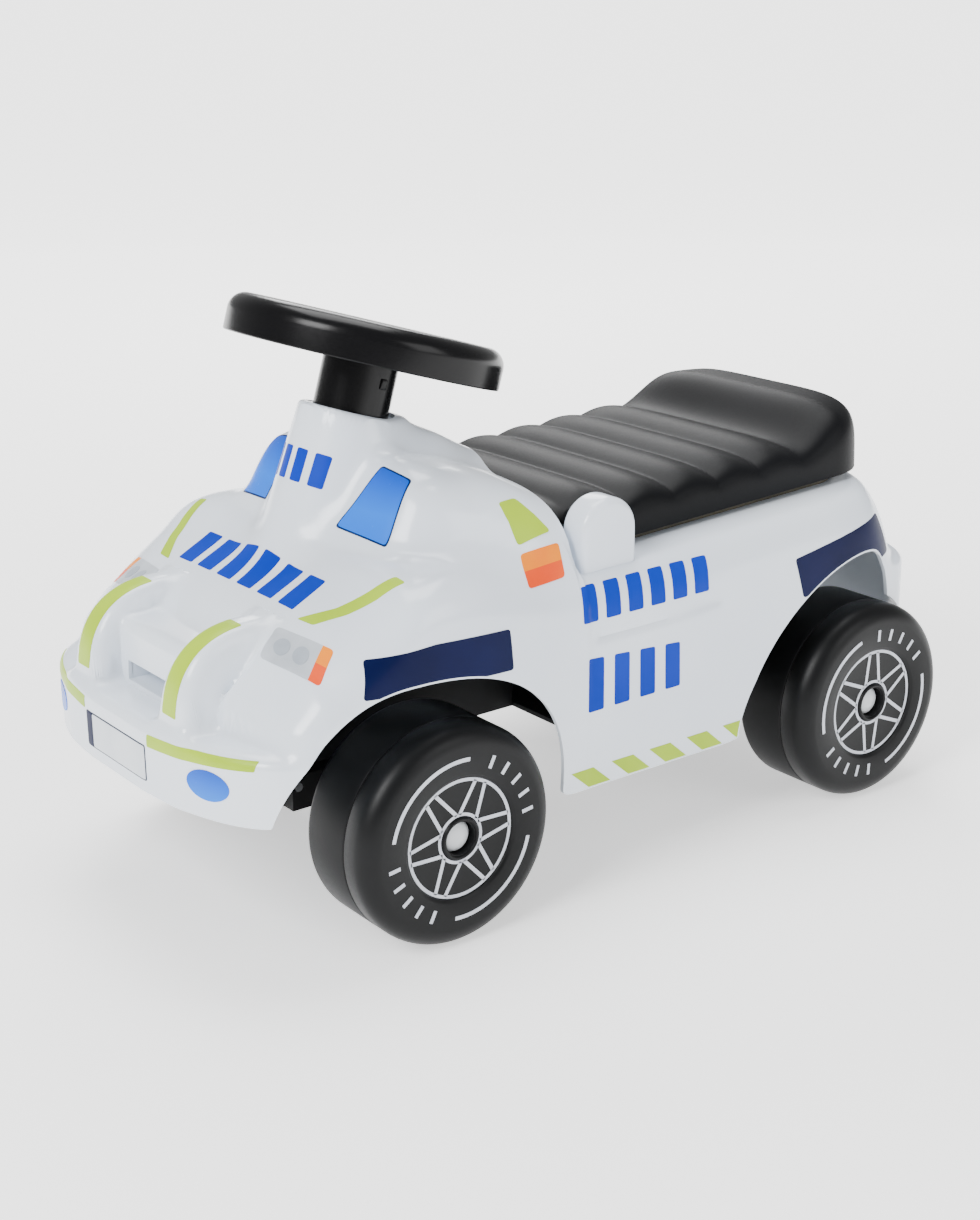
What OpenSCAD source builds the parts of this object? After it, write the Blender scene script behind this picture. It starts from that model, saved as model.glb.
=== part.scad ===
/* [Overall] */
// Length over both bumpers
body_len = 616; // [590:1:650]
// Width of the body over the front wings
body_w = 304; // [296:1:312]
// Width over the outer faces of the wheels
track_w = 319; // [312:1:330]
// Distance between the axles
wheelbase = 375; // [360:1:385]
// Front bumper face to the front axle
front_overhang = 153.5; // [148:0.5:160]
// Wall of the moulded body shell
shell_wall = 3; // [2.5:0.1:3.5]

/* [Body] */
// Underside of both bumpers above the floor
bumper_low = 105; // [101:1:110]
// Shelf on top of the front bumper
shelf_z = 150; // [146:1:154]
// Top of the rear bumper
rear_bumper_z = 170; // [165:1:175]
// Lower edge of the doors
door_low = 70; // [64:1:80]
// Front wheel arch height over the floor
front_arch_top = 178; // [172:1:186]
// Rear wheel arch height over the floor
rear_arch_top = 184; // [178:1:190]
// Width of one front guard fin
fin_w = 26; // [20:1:30]
// Gap between the two front guard fins
fin_gap = 88; // [80:1:96]
// Thickness of a seat ear
ear_w = 24; // [18:1:26]
// Radius of a seat ear
ear_r = 23; // [20:1:27]

/* [Wheels] */
// Wheel diameter
wheel_d = 146.5; // [140:0.5:152]
// Wheel width
wheel_w = 67; // [58:1:68]
// Wall of the hollow wheel
wheel_wall = 3; // [2:0.2:4]
// Rounding of the outer shoulder
shoulder_r = 13; // [8:1:16]
// Joint of the two wheel halves, from the outer face
wheel_seam = 24; // [18:1:30]
// Diameter of the pressed-in hub cap
cap_d = 22; // [20:1:26]
// Axle diameter
axle_d = 10; // [8:0.5:12]
// Axial play of a wheel on its axle
wheel_play = 0.4; // [0.3:0.1:1]
// Thickness of an axle washer
washer_t = 1.5; // [1:0.1:2]

/* [Steering] */
// Backward lean of the steering column
column_lean = 17; // [15:0.5:18]
// Diameter of the column above the body
column_d = 50; // [46:1:52]
// Diameter of the column stem inside the body
stem_d = 24; // [20:1:28]
// Distance of the column axis in front of the axle, at axle height
column_trail = 42.5; // [40:0.5:45]
// Height of the column collar along the column axis, from axle height
collar_s = 249; // [246:0.5:252]
// Visible length of the column between collar and wheel
column_show = 35.5; // [32:0.5:40]
// Outer diameter of the steering wheel
rim_d = 183; // [170:1:190]
// Depth of the steering wheel rim
rim_h = 26; // [22:1:28]
// Width of the steering wheel rim
rim_w = 24; // [18:1:28]

/* [Seat] */
// Seat width
seat_w = 212; // [200:1:216]
// Seat wall
seat_wall = 3; // [2.5:0.1:4]
// Height of the seat hinge above the floor
hinge_z = 239; // [237:0.5:241]
// Diameter of a seat hinge pin
hinge_pin_d = 8; // [6:0.5:10]
// Number of moulded rolls across the seat
seat_rolls = 5; // [4:1:6]

/* [Underside] */
// Underside of the chassis pan above the floor
pan_z = 102; // [98:1:105]
// Plate thickness of the pan and the tub
pan_t = 3; // [2:0.2:4]
// Width of the pan between the front wheels
pan_neck_w = 112; // [104:1:116]
// Gap from the side of the body to the edge of the pan between the doors
pan_side = 24; // [19:1:32]
// Width of the storage tub
tub_w = 164; // [150:1:168]
// Screw shank diameter
screw_d = 4; // [3:0.5:5]

/* [Fits] */
// Radial clearance of a running fit
run_gap = 0.05; // [0.02:0.01:0.09]
// Clearance between parts that stay still
still_gap = 0.1; // [0.05:0.01:0.2]
// Clearance between faces that move past each other
move_gap = 0.4; // [0.3:0.1:0.8]

/* [Hidden] */
$fn = 48;

// Main places along the car: it faces -Y, and +X is its left side
nose_y = -body_len / 2;
tail_y = body_len / 2;
front_y = nose_y + front_overhang;
rear_y = front_y + wheelbase;
mid_y = (front_y + rear_y) / 2;
axle_z = wheel_d / 2;
body_hw = body_w / 2;
track_hw = track_w / 2;
wheel_in = track_hw - wheel_w;
wheel_r = wheel_d / 2;
rear_over = tail_y - rear_y;
pan_wide_w = body_w - 2 * pan_side;

// Cubic curve through rows of stations; each row starts with its key
function station(tab, k, i = 0) = i >= len(tab) - 2 || k < tab[i + 1][0] ? i : station(tab, k, i + 1);
function rise(tab, i) =
    let (a = max(i - 1, 0), b = min(i + 1, len(tab) - 1))
    (tab[b] - tab[a]) / (tab[b][0] - tab[a][0]);
function curve(tab, k) =
    let (i = station(tab, k), h = tab[i + 1][0] - tab[i][0], u = (k - tab[i][0]) / h)
    (2 * u^3 - 3 * u^2 + 1) * tab[i] + (u^3 - 2 * u^2 + u) * h * rise(tab, i)
    + (3 * u^2 - 2 * u^3) * tab[i + 1] + (u^3 - u^2) * h * rise(tab, i + 1);

// Quarter of a superellipse, from the side (a) to the top (b)
function quarter(a, b, n, steps) =
    [for (i = [0:steps]) let (t = 90 * i / steps) [a * pow(cos(t), 2 / n), b * pow(sin(t), 2 / n)]];

// Lower body stations: [y, half width, belt height, crown height, squareness]
skirt_z = door_low - 12;
skirt_tuck = 5;
body_stations = [
    [front_y - 118, body_hw - 44, 120, 152, 4],
    [front_y - 108, body_hw - 26, 130, 172, 3.4],
    [front_y - 96, body_hw - 15, 140, 189, 3.2],
    [front_y - 82, body_hw - 8, 150, 203, 3.3],
    [front_y - 66, body_hw - 4, 160, 213, 3.5],
    [front_y - 42, body_hw - 1, 170, 225, 4.2],
    [front_y - 16, body_hw, 184, 239, 5.2],
    [front_y + 18, body_hw, 181, 243, 5],
    [front_y + 58, body_hw - 2, 160, 240, 4.8],
    [front_y + 94, body_hw - 5, 130, 234, 5.6],
    [front_y + 138, body_hw - 6, 115, 230, 7],
    [mid_y, body_hw - 6, 112, 229, 7],
    [rear_y - 98, body_hw - 6, 112, 235, 7],
    [rear_y - 38, body_hw - 7, 115, 240, 6.4],
    [rear_y + 4, body_hw - 9, 118, 243, 5.2],
    [rear_y + 0.32 * rear_over, body_hw - 14, 118, 241, 4],
    [rear_y + 0.514 * rear_over, body_hw - 22, 116, 232, 3.2],
    [rear_y + 0.674 * rear_over, body_hw - 33, 114, 211, 3],
    [rear_y + 0.8 * rear_over, body_hw - 50, 112, 182, 3],
    [rear_y + 0.857 * rear_over, body_hw - 67, 110, 160, 3]
];
// Dash hump stations, same columns
seat_front = front_y + 114;
cowl_stations = [
    [front_y - 18, 40, 200, 240, 3],
    [front_y - 10, 75, 200, 252, 3.4],
    [front_y - 1, 93, 200, 262, 3.8],
    [front_y + 22, 106, 200, 290, 4],
    [front_y + 58, 118, 190, 287, 4],
    [front_y + 88, 128, 180, 278, 4],
    [seat_front, 131, 175, 266, 4]
];

// Deck under the seat: it rises towards the back
deck_z = 218;
deck_slope = 2.6;
deck_y = front_y + 177;
deck_tuck = 6;

// Column frame: z runs up the leaning axis, from axle height
column_y = front_y - column_trail;
module on_column() translate([0, column_y, axle_z]) rotate([-column_lean, 0, 0]) children();

module at_wheel(y, side)
    translate([side * wheel_in, y, axle_z]) rotate([0, side * 90, 0]) children();

module both_sides() {
    children();
    mirror([1, 0, 0]) children();
}

module on_deck(y)
    translate([0, deck_y, deck_z]) rotate([deck_slope, 0, 0]) translate([0, y - deck_y, 0]) children();

// Closed loft through cross sections that stand square to Y
function half_section(s, inset, low, steps) =
    let (w = s[1] - inset, b = s[2], q = quarter(w, s[3] - inset - b, s[4], steps))
    [[w - skirt_tuck, low], for (p = q) [p[0], b + p[1]]];
module loft(tab, rings, steps, inset, low) {
    first = tab[0][0] + inset;
    last = tab[len(tab) - 1][0] - inset;
    half = steps + 2;
    around = 2 * half - 1;
    points = [for (i = [0:rings])
        let (y = first + (last - first) * i / rings, h = half_section(curve(tab, y), inset, low, steps))
        for (j = [0:around - 1])
            let (k = around - 1 - j)
            j < half ? [h[j][0], y, h[j][1]] : [-h[k][0], y, h[k][1]]];
    sides = [for (i = [0:rings - 1], j = [0:around - 1])
        let (k = (j + 1) % around, a = i * around, b = a + around)
        each [[a + j, a + k, b + k], [a + j, b + k, b + j]]];
    polyhedron(points, concat(sides, [[for (j = [around - 1:-1:0]) j]],
        [[for (j = [0:around - 1]) rings * around + j]]), 6);
}

// Forms of the body; each takes an inset, so that the same form makes the hollow
module lower_body(inset) difference() {
    loft(body_stations, inset > 0 ? 22 : 40, inset > 0 ? 6 : 8, inset, skirt_z - inset);
    on_deck(seat_front - deck_tuck)
        translate([-body_w, 0, -inset]) cube([2 * body_w, body_len, 100]);
}
module cowl(inset) loft(cowl_stations, inset > 0 ? 8 : 12, inset > 0 ? 6 : 8, inset, 150);

collar_r = column_d / 2 + 8;
hump_r = 46;
module column_hump(inset) {
    hull() {
        on_column() translate([0, 0, collar_s - 4 - inset]) cylinder(r = collar_r - inset, h = 4);
        translate([0, front_y + 8, 225]) cylinder(r = hump_r - inset, h = 4, $fn = 40);
    }
    hull() {
        on_column() translate([0, 0, collar_s - 4 - inset]) cylinder(r = collar_r - inset, h = 4);
        translate([-36 + inset, seat_front - 8, 240]) cube([72 - 2 * inset, 8 - inset, 39 - inset]);
    }
}

function bumper_plan(hw, reach, n, steps) =
    let (q = quarter(hw, reach, n, steps)) concat(q, [for (i = [steps - 1:-1:0]) [-q[i][0], q[i][1]]]);
slice = 1;
module bumper(hw, reach, n, back, top, inset) hull()
    for (k = [[bumper_low - 20, 7], [top - 14, 0], [top - 4, 1.5], [top - slice, 5]])
        translate([0, back - inset, min(k[0], top - slice - inset)]) linear_extrude(slice)
            polygon(bumper_plan(hw - k[1] - inset, reach - k[1], n, 10));
front_bumper_reach = 75;
module front_bumper(inset)
    mirror([0, 1, 0])
        bumper(body_hw - 3, front_bumper_reach, 2.5, -nose_y - front_bumper_reach, shelf_z, inset);
rear_bumper_reach = 60;
module rear_bumper(inset)
    bumper(body_hw - 18, rear_bumper_reach, 3, tail_y - rear_bumper_reach, rear_bumper_z, inset);

// Guard fins, the bar between them and the wing noses
fin_r = 9;
fin_back = front_y - 84;
fin_reach = 60;
fin_top = 206;
module fin() hull()
    for (x = [fin_gap / 2 + fin_r, fin_gap / 2 + fin_w - fin_r], i = [0:5]) {
        q = quarter(fin_reach - fin_r, fin_top - fin_r - shelf_z, 2.5, 5)[i];
        translate([x, fin_back - q[0], shelf_z + q[1]]) sphere(r = fin_r, $fn = 14);
        translate([x, fin_back + 8, shelf_z + q[1]]) sphere(r = fin_r, $fn = 14);
    }
module guard_bar() hull()
    for (x = [-fin_gap / 2, fin_gap / 2], y = [0, 24], z = [0, 9])
        translate([x, fin_back - 32 + y, 175 + z]) sphere(r = 8, $fn = 14);
nose_r = 14;
module wing_nose() hull()
    for (p = [[88, -106, 168], [88, -92, 180], [130, -94, 160],
              [128, -80, 174], [88, -106, 140], [132, -88, 140]])
        translate([p[0], front_y + p[1], p[2]]) sphere(r = nose_r, $fn = 16);

hinge_y = front_y + 143;
ear_in = seat_w / 2 + 1.5;
ear_round = 4;
ear_drop = 40;
module ear() hull()
    for (k = [[0, ear_round], [ear_round, 0], [ear_w - ear_round - slice, 0], [ear_w - slice, ear_round]])
        translate([ear_in + k[0], hinge_y, hinge_z]) rotate([0, 90, 0]) {
            cylinder(r = ear_r - k[1], h = slice, $fn = 36);
            translate([ear_drop, 0, 0]) cylinder(r = ear_r - k[1], h = slice, $fn = 36);
        }

// Outline kept in the side view: doors, bumpers and wheel arches
module side_outline() offset(r = 9, $fn = 20) offset(delta = -9) difference() {
    union() {
        translate([nose_y - 5, bumper_low]) square([body_len + 10, 250]);
        translate([front_y, door_low]) square([wheelbase, 100]);
    }
    arch(front_y - 30, 80, 94, 124, front_arch_top, 2, 2.4);
    arch(rear_y, 75, 121, 37, rear_arch_top, 1.7, 3);
}
module arch(y, low, ahead, behind, top, n_ahead, n_behind) translate([y, low]) {
    polygon(concat(quarter(-ahead, top - low, n_ahead, 12), [[0, -40], [-ahead, -40]]));
    polygon(concat(quarter(behind, top - low, n_behind, 12), [[0, -40], [behind, -40]]));
}

// Screw posts between the shell and the pan: [x, y, top], each with its top inside the wall
post_r = 7;
post_sink = 1.6;
post_x = pan_wide_w / 2 - 2 * post_r;
function skin_z(x, y) =
    let (s = curve(body_stations, y), u = min(x / s[1], 1))
    s[2] + (s[3] - s[2]) * pow(1 - pow(u, s[4]), 1 / s[4]);
function deck_at(y) = deck_z + (y - deck_y) * tan(deck_slope);
function post_top(x, y) = min(skin_z(x + post_r, y), y > seat_front ? deck_at(y) : body_len) - post_sink;
post_places = [[40, front_y - 62], [post_x, front_y + 134], [post_x, mid_y + 66]];
posts = [for (p = post_places) [p[0], p[1], post_top(p[0], p[1])]];

module outer_forms(inset) {
    lower_body(inset);
    cowl(inset);
    column_hump(inset);
    front_bumper(inset);
    rear_bumper(inset);
}
module front_guard() {
    guard_bar();
    both_sides() fin();
    both_sides() wing_nose();
}

wheel_clear = 5;
tub_front = seat_front + 44;
tub_back = rear_y - 34;
module body_shell() color("whitesmoke") difference() {
    union() {
        intersection() {
            difference() {
                union() {
                    outer_forms(0);
                    front_guard();
                }
                outer_forms(shell_wall);
            }
            rotate([90, 0, 90]) translate([0, 0, -body_w]) linear_extrude(2 * body_w) side_outline();
        }
        both_sides() ear();
        for (p = posts) both_sides()
            translate([p[0], p[1], pan_z + pan_t]) cylinder(r = post_r, h = p[2] - pan_z - pan_t, $fn = 24);
    }
    // Seat opening, column collar seat, hinge pin holes, rear wheel clearance and screw holes
    translate([-tub_w / 2 - still_gap, tub_front - still_gap, deck_z - 40])
        cube([tub_w + 2 * still_gap, tub_back - tub_front + 2 * still_gap, 100]);
    both_sides() translate([wheel_in - wheel_clear, rear_y, axle_z]) rotate([0, 90, 0])
        cylinder(r = wheel_r + wheel_clear, h = body_hw);
    on_column() translate([0, 0, collar_s - 30]) cylinder(r = collar_fit_r + still_gap, h = 60);
    both_sides() translate([0, hinge_y, hinge_z]) rotate([0, 90, 0])
        cylinder(d = hinge_pin_d + 2 * still_gap, h = ear_in + hinge_hold);
    for (p = posts) both_sides()
        translate([p[0], p[1], pan_z]) cylinder(d = screw_d + 2 * still_gap, h = screw_grip, $fn = 24);
}

// Chassis pan: plate in three widths, with side walls between the front wheels
pan_front = front_y - 84;
pan_step = front_y + 120;
pan_rear_step = rear_y - 102;
pan_back = rear_y + 30;
pan_wall_h = 48;
rear_neck_w = 2 * (wheel_in - 7);
bush_r = stem_d / 2 + 3.5;
boss_r = bush_r + 6;
bush_low = (pan_z - axle_z - boss_r * sin(column_lean)) / cos(column_lean) - move_gap;
boss_h = 22;
module plate(w, from, to) translate([-w / 2, from, pan_z]) cube([w, to - from, pan_t]);
module chassis_pan() color("#26282b") difference() {
    union() {
        plate(pan_neck_w, pan_front, pan_step);
        plate(pan_wide_w, pan_step, pan_rear_step);
        plate(rear_neck_w, pan_rear_step, pan_back);
        both_sides() translate([pan_neck_w / 2 - pan_t, pan_front, pan_z])
            cube([pan_t, pan_step - pan_front, pan_wall_h]);
        translate([-pan_neck_w / 2, pan_front, pan_z]) cube([pan_neck_w, pan_t, pan_wall_h]);
        on_column() translate([0, 0, bush_low]) cylinder(r = boss_r, h = boss_h);
    }
    on_column() cylinder(r = bush_r + still_gap, h = 120);
    for (p = posts) both_sides() translate([p[0], p[1], 0]) cylinder(d = screw_d + 2 * still_gap, h = 200);
    for (x = block_screw_x, y = block_screw_y) both_sides()
        translate([x, rear_y + y, 0]) cylinder(d = screw_d + 2 * still_gap, h = 200);
}

// Storage tub under the seat: its rim stands proud of the deck
tub_rim = 8;
tub_rim_h = 5;
tub_low = pan_z + pan_t;
module tub_block(inset, top) intersection() {
    translate([-tub_w / 2 + inset, tub_front + inset, tub_low + inset])
        cube([tub_w - 2 * inset, tub_back - tub_front - 2 * inset, 200]);
    on_deck(tub_front) translate([-body_w, -100, -200 + top]) cube([2 * body_w, 600, 200]);
}
module storage_tub() color("#4a463c") difference() {
    union() {
        tub_block(0, tub_rim_h);
        on_deck(tub_front) translate([-tub_w / 2 - tub_rim, -tub_rim, still_gap])
            cube([tub_w + 2 * tub_rim, tub_back - tub_front + 2 * tub_rim, tub_rim_h - still_gap]);
    }
    tub_block(pan_t, tub_rim_h + 20);
}

// Bearings of the steering column
collar_fit_r = column_d / 2 + 4;
collar_h = 26;
lip_t = 1.6;
module column_collar() color("white") on_column() difference() {
    union() {
        translate([0, 0, collar_s - collar_h]) cylinder(r = collar_fit_r, h = collar_h);
        translate([0, 0, collar_s]) cylinder(r = collar_r - 1, h = lip_t);
    }
    cylinder(r = column_d / 2 + run_gap, h = 400);
}
flange_t = 2;
module column_bush() color("#d8d8d4") on_column() difference() {
    union() {
        translate([0, 0, bush_low - flange_t]) cylinder(r = boss_r, h = flange_t);
        translate([0, 0, bush_low]) cylinder(r = bush_r, h = boss_h);
    }
    cylinder(r = stem_d / 2 + run_gap, h = 120);
}

// Axles with their washers and push nuts
recess_depth = 12;
nut_t = 1.2;
nut_d = cap_d - 5;
axle_show = 2.5;
washer_x = wheel_in - wheel_play - washer_t;
axle_hw = track_hw - recess_depth + nut_t + wheel_play + axle_show;
module axle(y) color("silver")
    translate([-axle_hw, y, axle_z]) rotate([0, 90, 0]) cylinder(d = axle_d, h = 2 * axle_hw);
module axle_rings(y, x, d, t) color("silver") both_sides()
    translate([x, y, axle_z]) rotate([0, 90, 0]) difference() {
        cylinder(d = d, h = t);
        translate([0, 0, -1]) cylinder(d = axle_d + 2 * still_gap, h = t + 2);
    }
nut_x = track_hw - recess_depth + wheel_play;
module rear_axle() axle(rear_y);
module front_axle() axle(front_y);
module rear_axle_washers() axle_rings(rear_y, washer_x, axle_d + 12, washer_t);
module front_axle_washers() axle_rings(front_y, washer_x, axle_d + 12, washer_t);
module rear_push_nuts() axle_rings(rear_y, nut_x, nut_d, nut_t);
module front_push_nuts() axle_rings(front_y, nut_x, nut_d, nut_t);

// Blocks that hold the rear axle under the pan
block_w = 34;
block_len = 44;
block_x = washer_x - block_w;
block_screw_x = [block_x + block_w / 2];
block_screw_y = [-17, 17];
screw_head_d = 2 * screw_d;
screw_head_t = screw_d / 2;
module rear_axle_block_left() color("#26282b") difference() {
    union() {
        translate([block_x, rear_y - block_len / 2, axle_z]) cube([block_w, block_len, pan_z - axle_z]);
        translate([block_x, rear_y, axle_z]) rotate([0, 90, 0]) cylinder(d = axle_d + 14, h = block_w);
    }
    translate([0, rear_y, axle_z]) rotate([0, 90, 0]) cylinder(d = axle_d + 2 * still_gap, h = 200);
    for (x = block_screw_x, y = block_screw_y)
        translate([x, rear_y + y, 0]) cylinder(d = screw_d + 2 * still_gap, h = 200);
}
module rear_axle_block_right() mirror([1, 0, 0]) rear_axle_block_left();

// Screws, driven up from below
module screw(length) {
    cylinder(d = screw_d, h = length);
    translate([0, 0, -screw_head_t]) cylinder(d = screw_head_d, h = screw_head_t);
}
screw_grip = 22;
module pan_screws() color("silver")
    for (p = posts) both_sides() translate([p[0], p[1], pan_z]) screw(screw_grip - 2);
module block_screws() color("silver")
    for (x = block_screw_x, y = block_screw_y) both_sides()
        translate([x, rear_y + y, axle_z]) screw(pan_z + pan_t - axle_z);

// Seat hinge: pins held in the ears, lugs on the seat
hinge_hold = 18;
lug_w = 11;
lug_in = ear_in - 2.5 - lug_w;
lug_r = 11;
module seat_hinge_pin(side) color("silver") translate([side * lug_in, hinge_y, hinge_z])
    rotate([0, side * 90, 0]) cylinder(d = hinge_pin_d, h = ear_in - lug_in + hinge_hold);
module seat_hinge_pin_left() seat_hinge_pin(1);
module seat_hinge_pin_right() seat_hinge_pin(-1);
module seat_hinge_lug(side) color("#1c1e22")
    translate([side * lug_in, hinge_y, hinge_z]) rotate([0, side * 90, 0]) difference() {
        cylinder(r = lug_r, h = lug_w);
        translate([0, 0, -1]) cylinder(d = hinge_pin_d + 2 * run_gap, h = lug_w + 2);
    }
module seat_hinge_lug_left() seat_hinge_lug(1);
module seat_hinge_lug_right() seat_hinge_lug(-1);

// Seat: a moulded cover with rolls across it and a raised back, round the hinge at its front
seat_lift = tub_rim_h + move_gap;
seat_round = 21;
seat_roll_h = 5;
seat_top = 33;
back_top = 55;
hinge_v = hinge_y - deck_y;
hinge_h = hinge_z - deck_z - hinge_v * tan(deck_slope);
seat_foot = 170;
seat_end = rear_y + 53 - deck_y;
seat_pitch = (seat_foot - hinge_v) / seat_rolls;
back_len = 50;
tail_round = 16;
function ease(u) = let (c = min(max(u, 0), 1)) c * c * (3 - 2 * c);
function nose_half(v) = sqrt(max(seat_round^2 - min(v - hinge_v, 0)^2, 0));
function roll(v) =
    v < hinge_v || v > seat_foot ? 0 : seat_roll_h * abs(sin(180 * (v - hinge_v) / seat_pitch));
tail_power = 2.6;
function tail_shape(v) =
    pow(max(1 - pow(1 - min((seat_end - v) / tail_round, 1), tail_power), 0), 1 / tail_power);
function seat_base(v) = max(seat_lift, hinge_h - nose_half(v));
function seat_crown(v) =
    let (front = hinge_h + (seat_top - hinge_h) * nose_half(v) / seat_round,
        back = (back_top - seat_top) * ease((v - seat_foot) / back_len))
    seat_lift + 8 + (front + roll(v) + back - seat_lift - 8) * tail_shape(v);
seat_waist = lug_in - still_gap;
function seat_half(v) =
    seat_waist + (seat_w / 2 - seat_waist) * ease((v - hinge_v - 25) / 14)
    - 30 * pow(max(1 - (seat_end - v) / 46, 0), 2.5);
function seat_ring(v, steps = 9) =
    let (w = seat_half(v), c = seat_crown(v) - seat_base(v),
        outer = quarter(w, c, 5, steps),
        inner = quarter(w - seat_wall, max(c - seat_wall, c / 3), 5, steps),
        over = concat(outer, [for (i = [steps - 1:-1:0]) [-outer[i][0], outer[i][1]]]),
        under = concat([for (i = [0:steps]) [-inner[i][0], inner[i][1]]],
            [for (i = [steps - 1:-1:0]) inner[i]]))
    [for (p = concat(over, under)) [p[0], v, seat_base(v) + p[1]]];
module seat() color("#1c1e22") on_deck(deck_y) {
    rings = 60;
    first = hinge_v - seat_round + 0.6;
    points = [for (i = [0:rings]) each seat_ring(first + (seat_end - first) * i / rings)];
    n = len(seat_ring(0));
    sides = [for (i = [0:rings - 1], j = [0:n - 1])
        let (k = (j + 1) % n, a = i * n, b = a + n)
        each [[a + j, a + k, b + k], [a + j, b + k, b + j]]];
    last = rings * n;
    ends = [for (j = [0:n / 2 - 2])
        let (k = n - 1 - j)
        each [[j + 1, j, k, k - 1], [last + j, last + j + 1, last + k - 1, last + k]]];
    polyhedron(points, concat(sides, ends), 8);
}

// Steering: wheel, column, carrier
rim_r = rim_d / 2;
rim_s = collar_s + column_show;
rim_wall = 3;
rim_round = 12;
spoke_h = rim_h - 9;
spoke_w = 34;
spoke_t = 5;
hub_r = column_d / 2 + 2;
spigot_d = 20;
spigot_h = 10;
badge_r = 17;
badge_sink = 2.5;
rim_in = rim_r - rim_w;
function rim_arc(cut) =
    [for (a = [0:10:90]) [rim_r - rim_round, rim_h - rim_round] + (rim_round - cut) * [cos(a), sin(a)]];
module rim_profile() polygon(concat(
    [[rim_r, 0]], rim_arc(0),
    [[rim_in + 4, rim_h - 1], [rim_in, spoke_h], [rim_in, spoke_h - spoke_t]],
    [[rim_in + rim_wall, spoke_h - spoke_t], [rim_in + rim_wall, spoke_h - 1]],
    [[rim_in + 4 + rim_wall / 2, rim_h - 1 - rim_wall]],
    [for (i = [9:-1:0]) rim_arc(rim_wall)[i]], [[rim_r - rim_wall, 0]]));
module steering_wheel() color("#1c1e22") on_column() translate([0, 0, rim_s]) difference() {
    union() {
        rotate_extrude($fn = 96) rim_profile();
        for (a = [90, 210, 330]) rotate(a)
            translate([hub_r - 6, -spoke_w / 2, spoke_h - spoke_t])
                cube([rim_in - hub_r + 7.5, spoke_w, spoke_t]);
        cylinder(r = hub_r, h = spoke_h + 1);
    }
    translate([0, 0, -1]) cylinder(d = spigot_d + 2 * still_gap, h = spigot_h + 1 + still_gap);
    cylinder(d = screw_d + 2 * still_gap, h = 60);
    translate([0, 0, spoke_h + 1 - badge_sink]) cylinder(r = badge_r + still_gap, h = 20);
}
module steering_wheel_screw() color("silver") on_column()
    translate([0, 0, rim_s + spoke_h + 1 - badge_sink]) rotate([180, 0, 0]) {
        cylinder(d = screw_d, h = spoke_h + 18);
        translate([0, 0, -1.2]) cylinder(d = screw_head_d, h = 1.2);
    }
module steering_wheel_cap() color("#1c1e22") on_column()
    translate([0, 0, rim_s + spoke_h + 1 - badge_sink]) difference() {
        union() {
            cylinder(r = badge_r, h = badge_sink);
            translate([0, 0, badge_sink]) cylinder(r1 = badge_r, r2 = badge_r - 3, h = 2);
        }
        translate([0, 0, -1]) cylinder(d = screw_head_d + 2, h = 2.6);
    }
carrier_top = bush_low - flange_t - move_gap;
carrier_low = -14;
socket_low = -10;
pin_s = 4;
pin_d = 6;
module steering_column() color("#1c1e22") on_column() difference() {
    union() {
        translate([0, 0, socket_low + still_gap])
            cylinder(d = stem_d, h = collar_s - collar_h - socket_low);
        translate([0, 0, collar_s - collar_h - 4]) cylinder(d = column_d, h = column_show + collar_h + 4);
        translate([0, 0, rim_s]) cylinder(d = spigot_d, h = spigot_h);
    }
    translate([0, 0, rim_s + spigot_h - 30]) cylinder(d = screw_d + 2 * still_gap, h = 60);
    translate([-50, 0, pin_s]) rotate([0, 90, 0]) cylinder(d = pin_d + 2 * still_gap, h = 100);
}
carrier_r = stem_d / 2 + 8;
tube_d = axle_d + 14;
arm_w = 70;
module front_carrier() color("#26282b") difference() {
    union() {
        on_column() translate([0, 0, carrier_low]) cylinder(r = carrier_r, h = carrier_top - carrier_low);
        translate([-washer_x, front_y, axle_z]) rotate([0, 90, 0]) cylinder(d = tube_d, h = 2 * washer_x);
        translate([-arm_w / 2, column_y - 4, axle_z - tube_d / 2]) cube([arm_w, column_trail + 4, tube_d]);
    }
    on_column() translate([0, 0, socket_low]) cylinder(d = stem_d + 2 * still_gap, h = 120);
    on_column() translate([-50, 0, pin_s]) rotate([0, 90, 0]) cylinder(d = pin_d + 2 * still_gap, h = 100);
    translate([-200, front_y, axle_z]) rotate([0, 90, 0]) cylinder(d = axle_d + 2 * still_gap, h = 400);
}
module column_pin() color("silver") on_column()
    translate([-arm_w / 2, 0, pin_s]) rotate([0, 90, 0]) cylinder(d = pin_d, h = arm_w);

// Wheel: two hollow halves that meet at the seam, and a domed cap
seam_u = wheel_w - wheel_seam;
bore_r = axle_d / 2 + run_gap;
tube_r = cap_d / 2 + 3.5;
face_r = 42;
face_sink = 3;
inner_round = 6;
seam_cut = 1;
face_u = wheel_w - face_sink;
function round_corner(r, u, radius, from, to, step) =
    [for (a = [from:step:to]) [r, u] + radius * [cos(a), sin(a)]];
module wheel_outer() color("#17181b") difference() {
    rotate_extrude($fn = 96) polygon(concat(
        [[bore_r, seam_u], [wheel_r - seam_cut, seam_u], [wheel_r, seam_u + seam_cut]],
        round_corner(wheel_r - shoulder_r, wheel_w - shoulder_r, shoulder_r, 0, 90, 10),
        [[face_r, wheel_w], [face_r - 2, face_u], [tube_r, face_u], [tube_r - 1, wheel_w - 1]],
        [[cap_d / 2 + still_gap, wheel_w - 1], [cap_d / 2 + still_gap, wheel_w - recess_depth]],
        [[bore_r, wheel_w - recess_depth]]));
    rotate_extrude($fn = 96) polygon([
        [tube_r, seam_u - 1], [wheel_r - wheel_wall, seam_u - 1],
        [wheel_r - wheel_wall, wheel_w - shoulder_r], [wheel_r - shoulder_r, wheel_w - wheel_wall],
        [face_r + 1, wheel_w - wheel_wall], [face_r - 2, face_u - wheel_wall], [tube_r, face_u - wheel_wall]
    ]);
}
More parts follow.
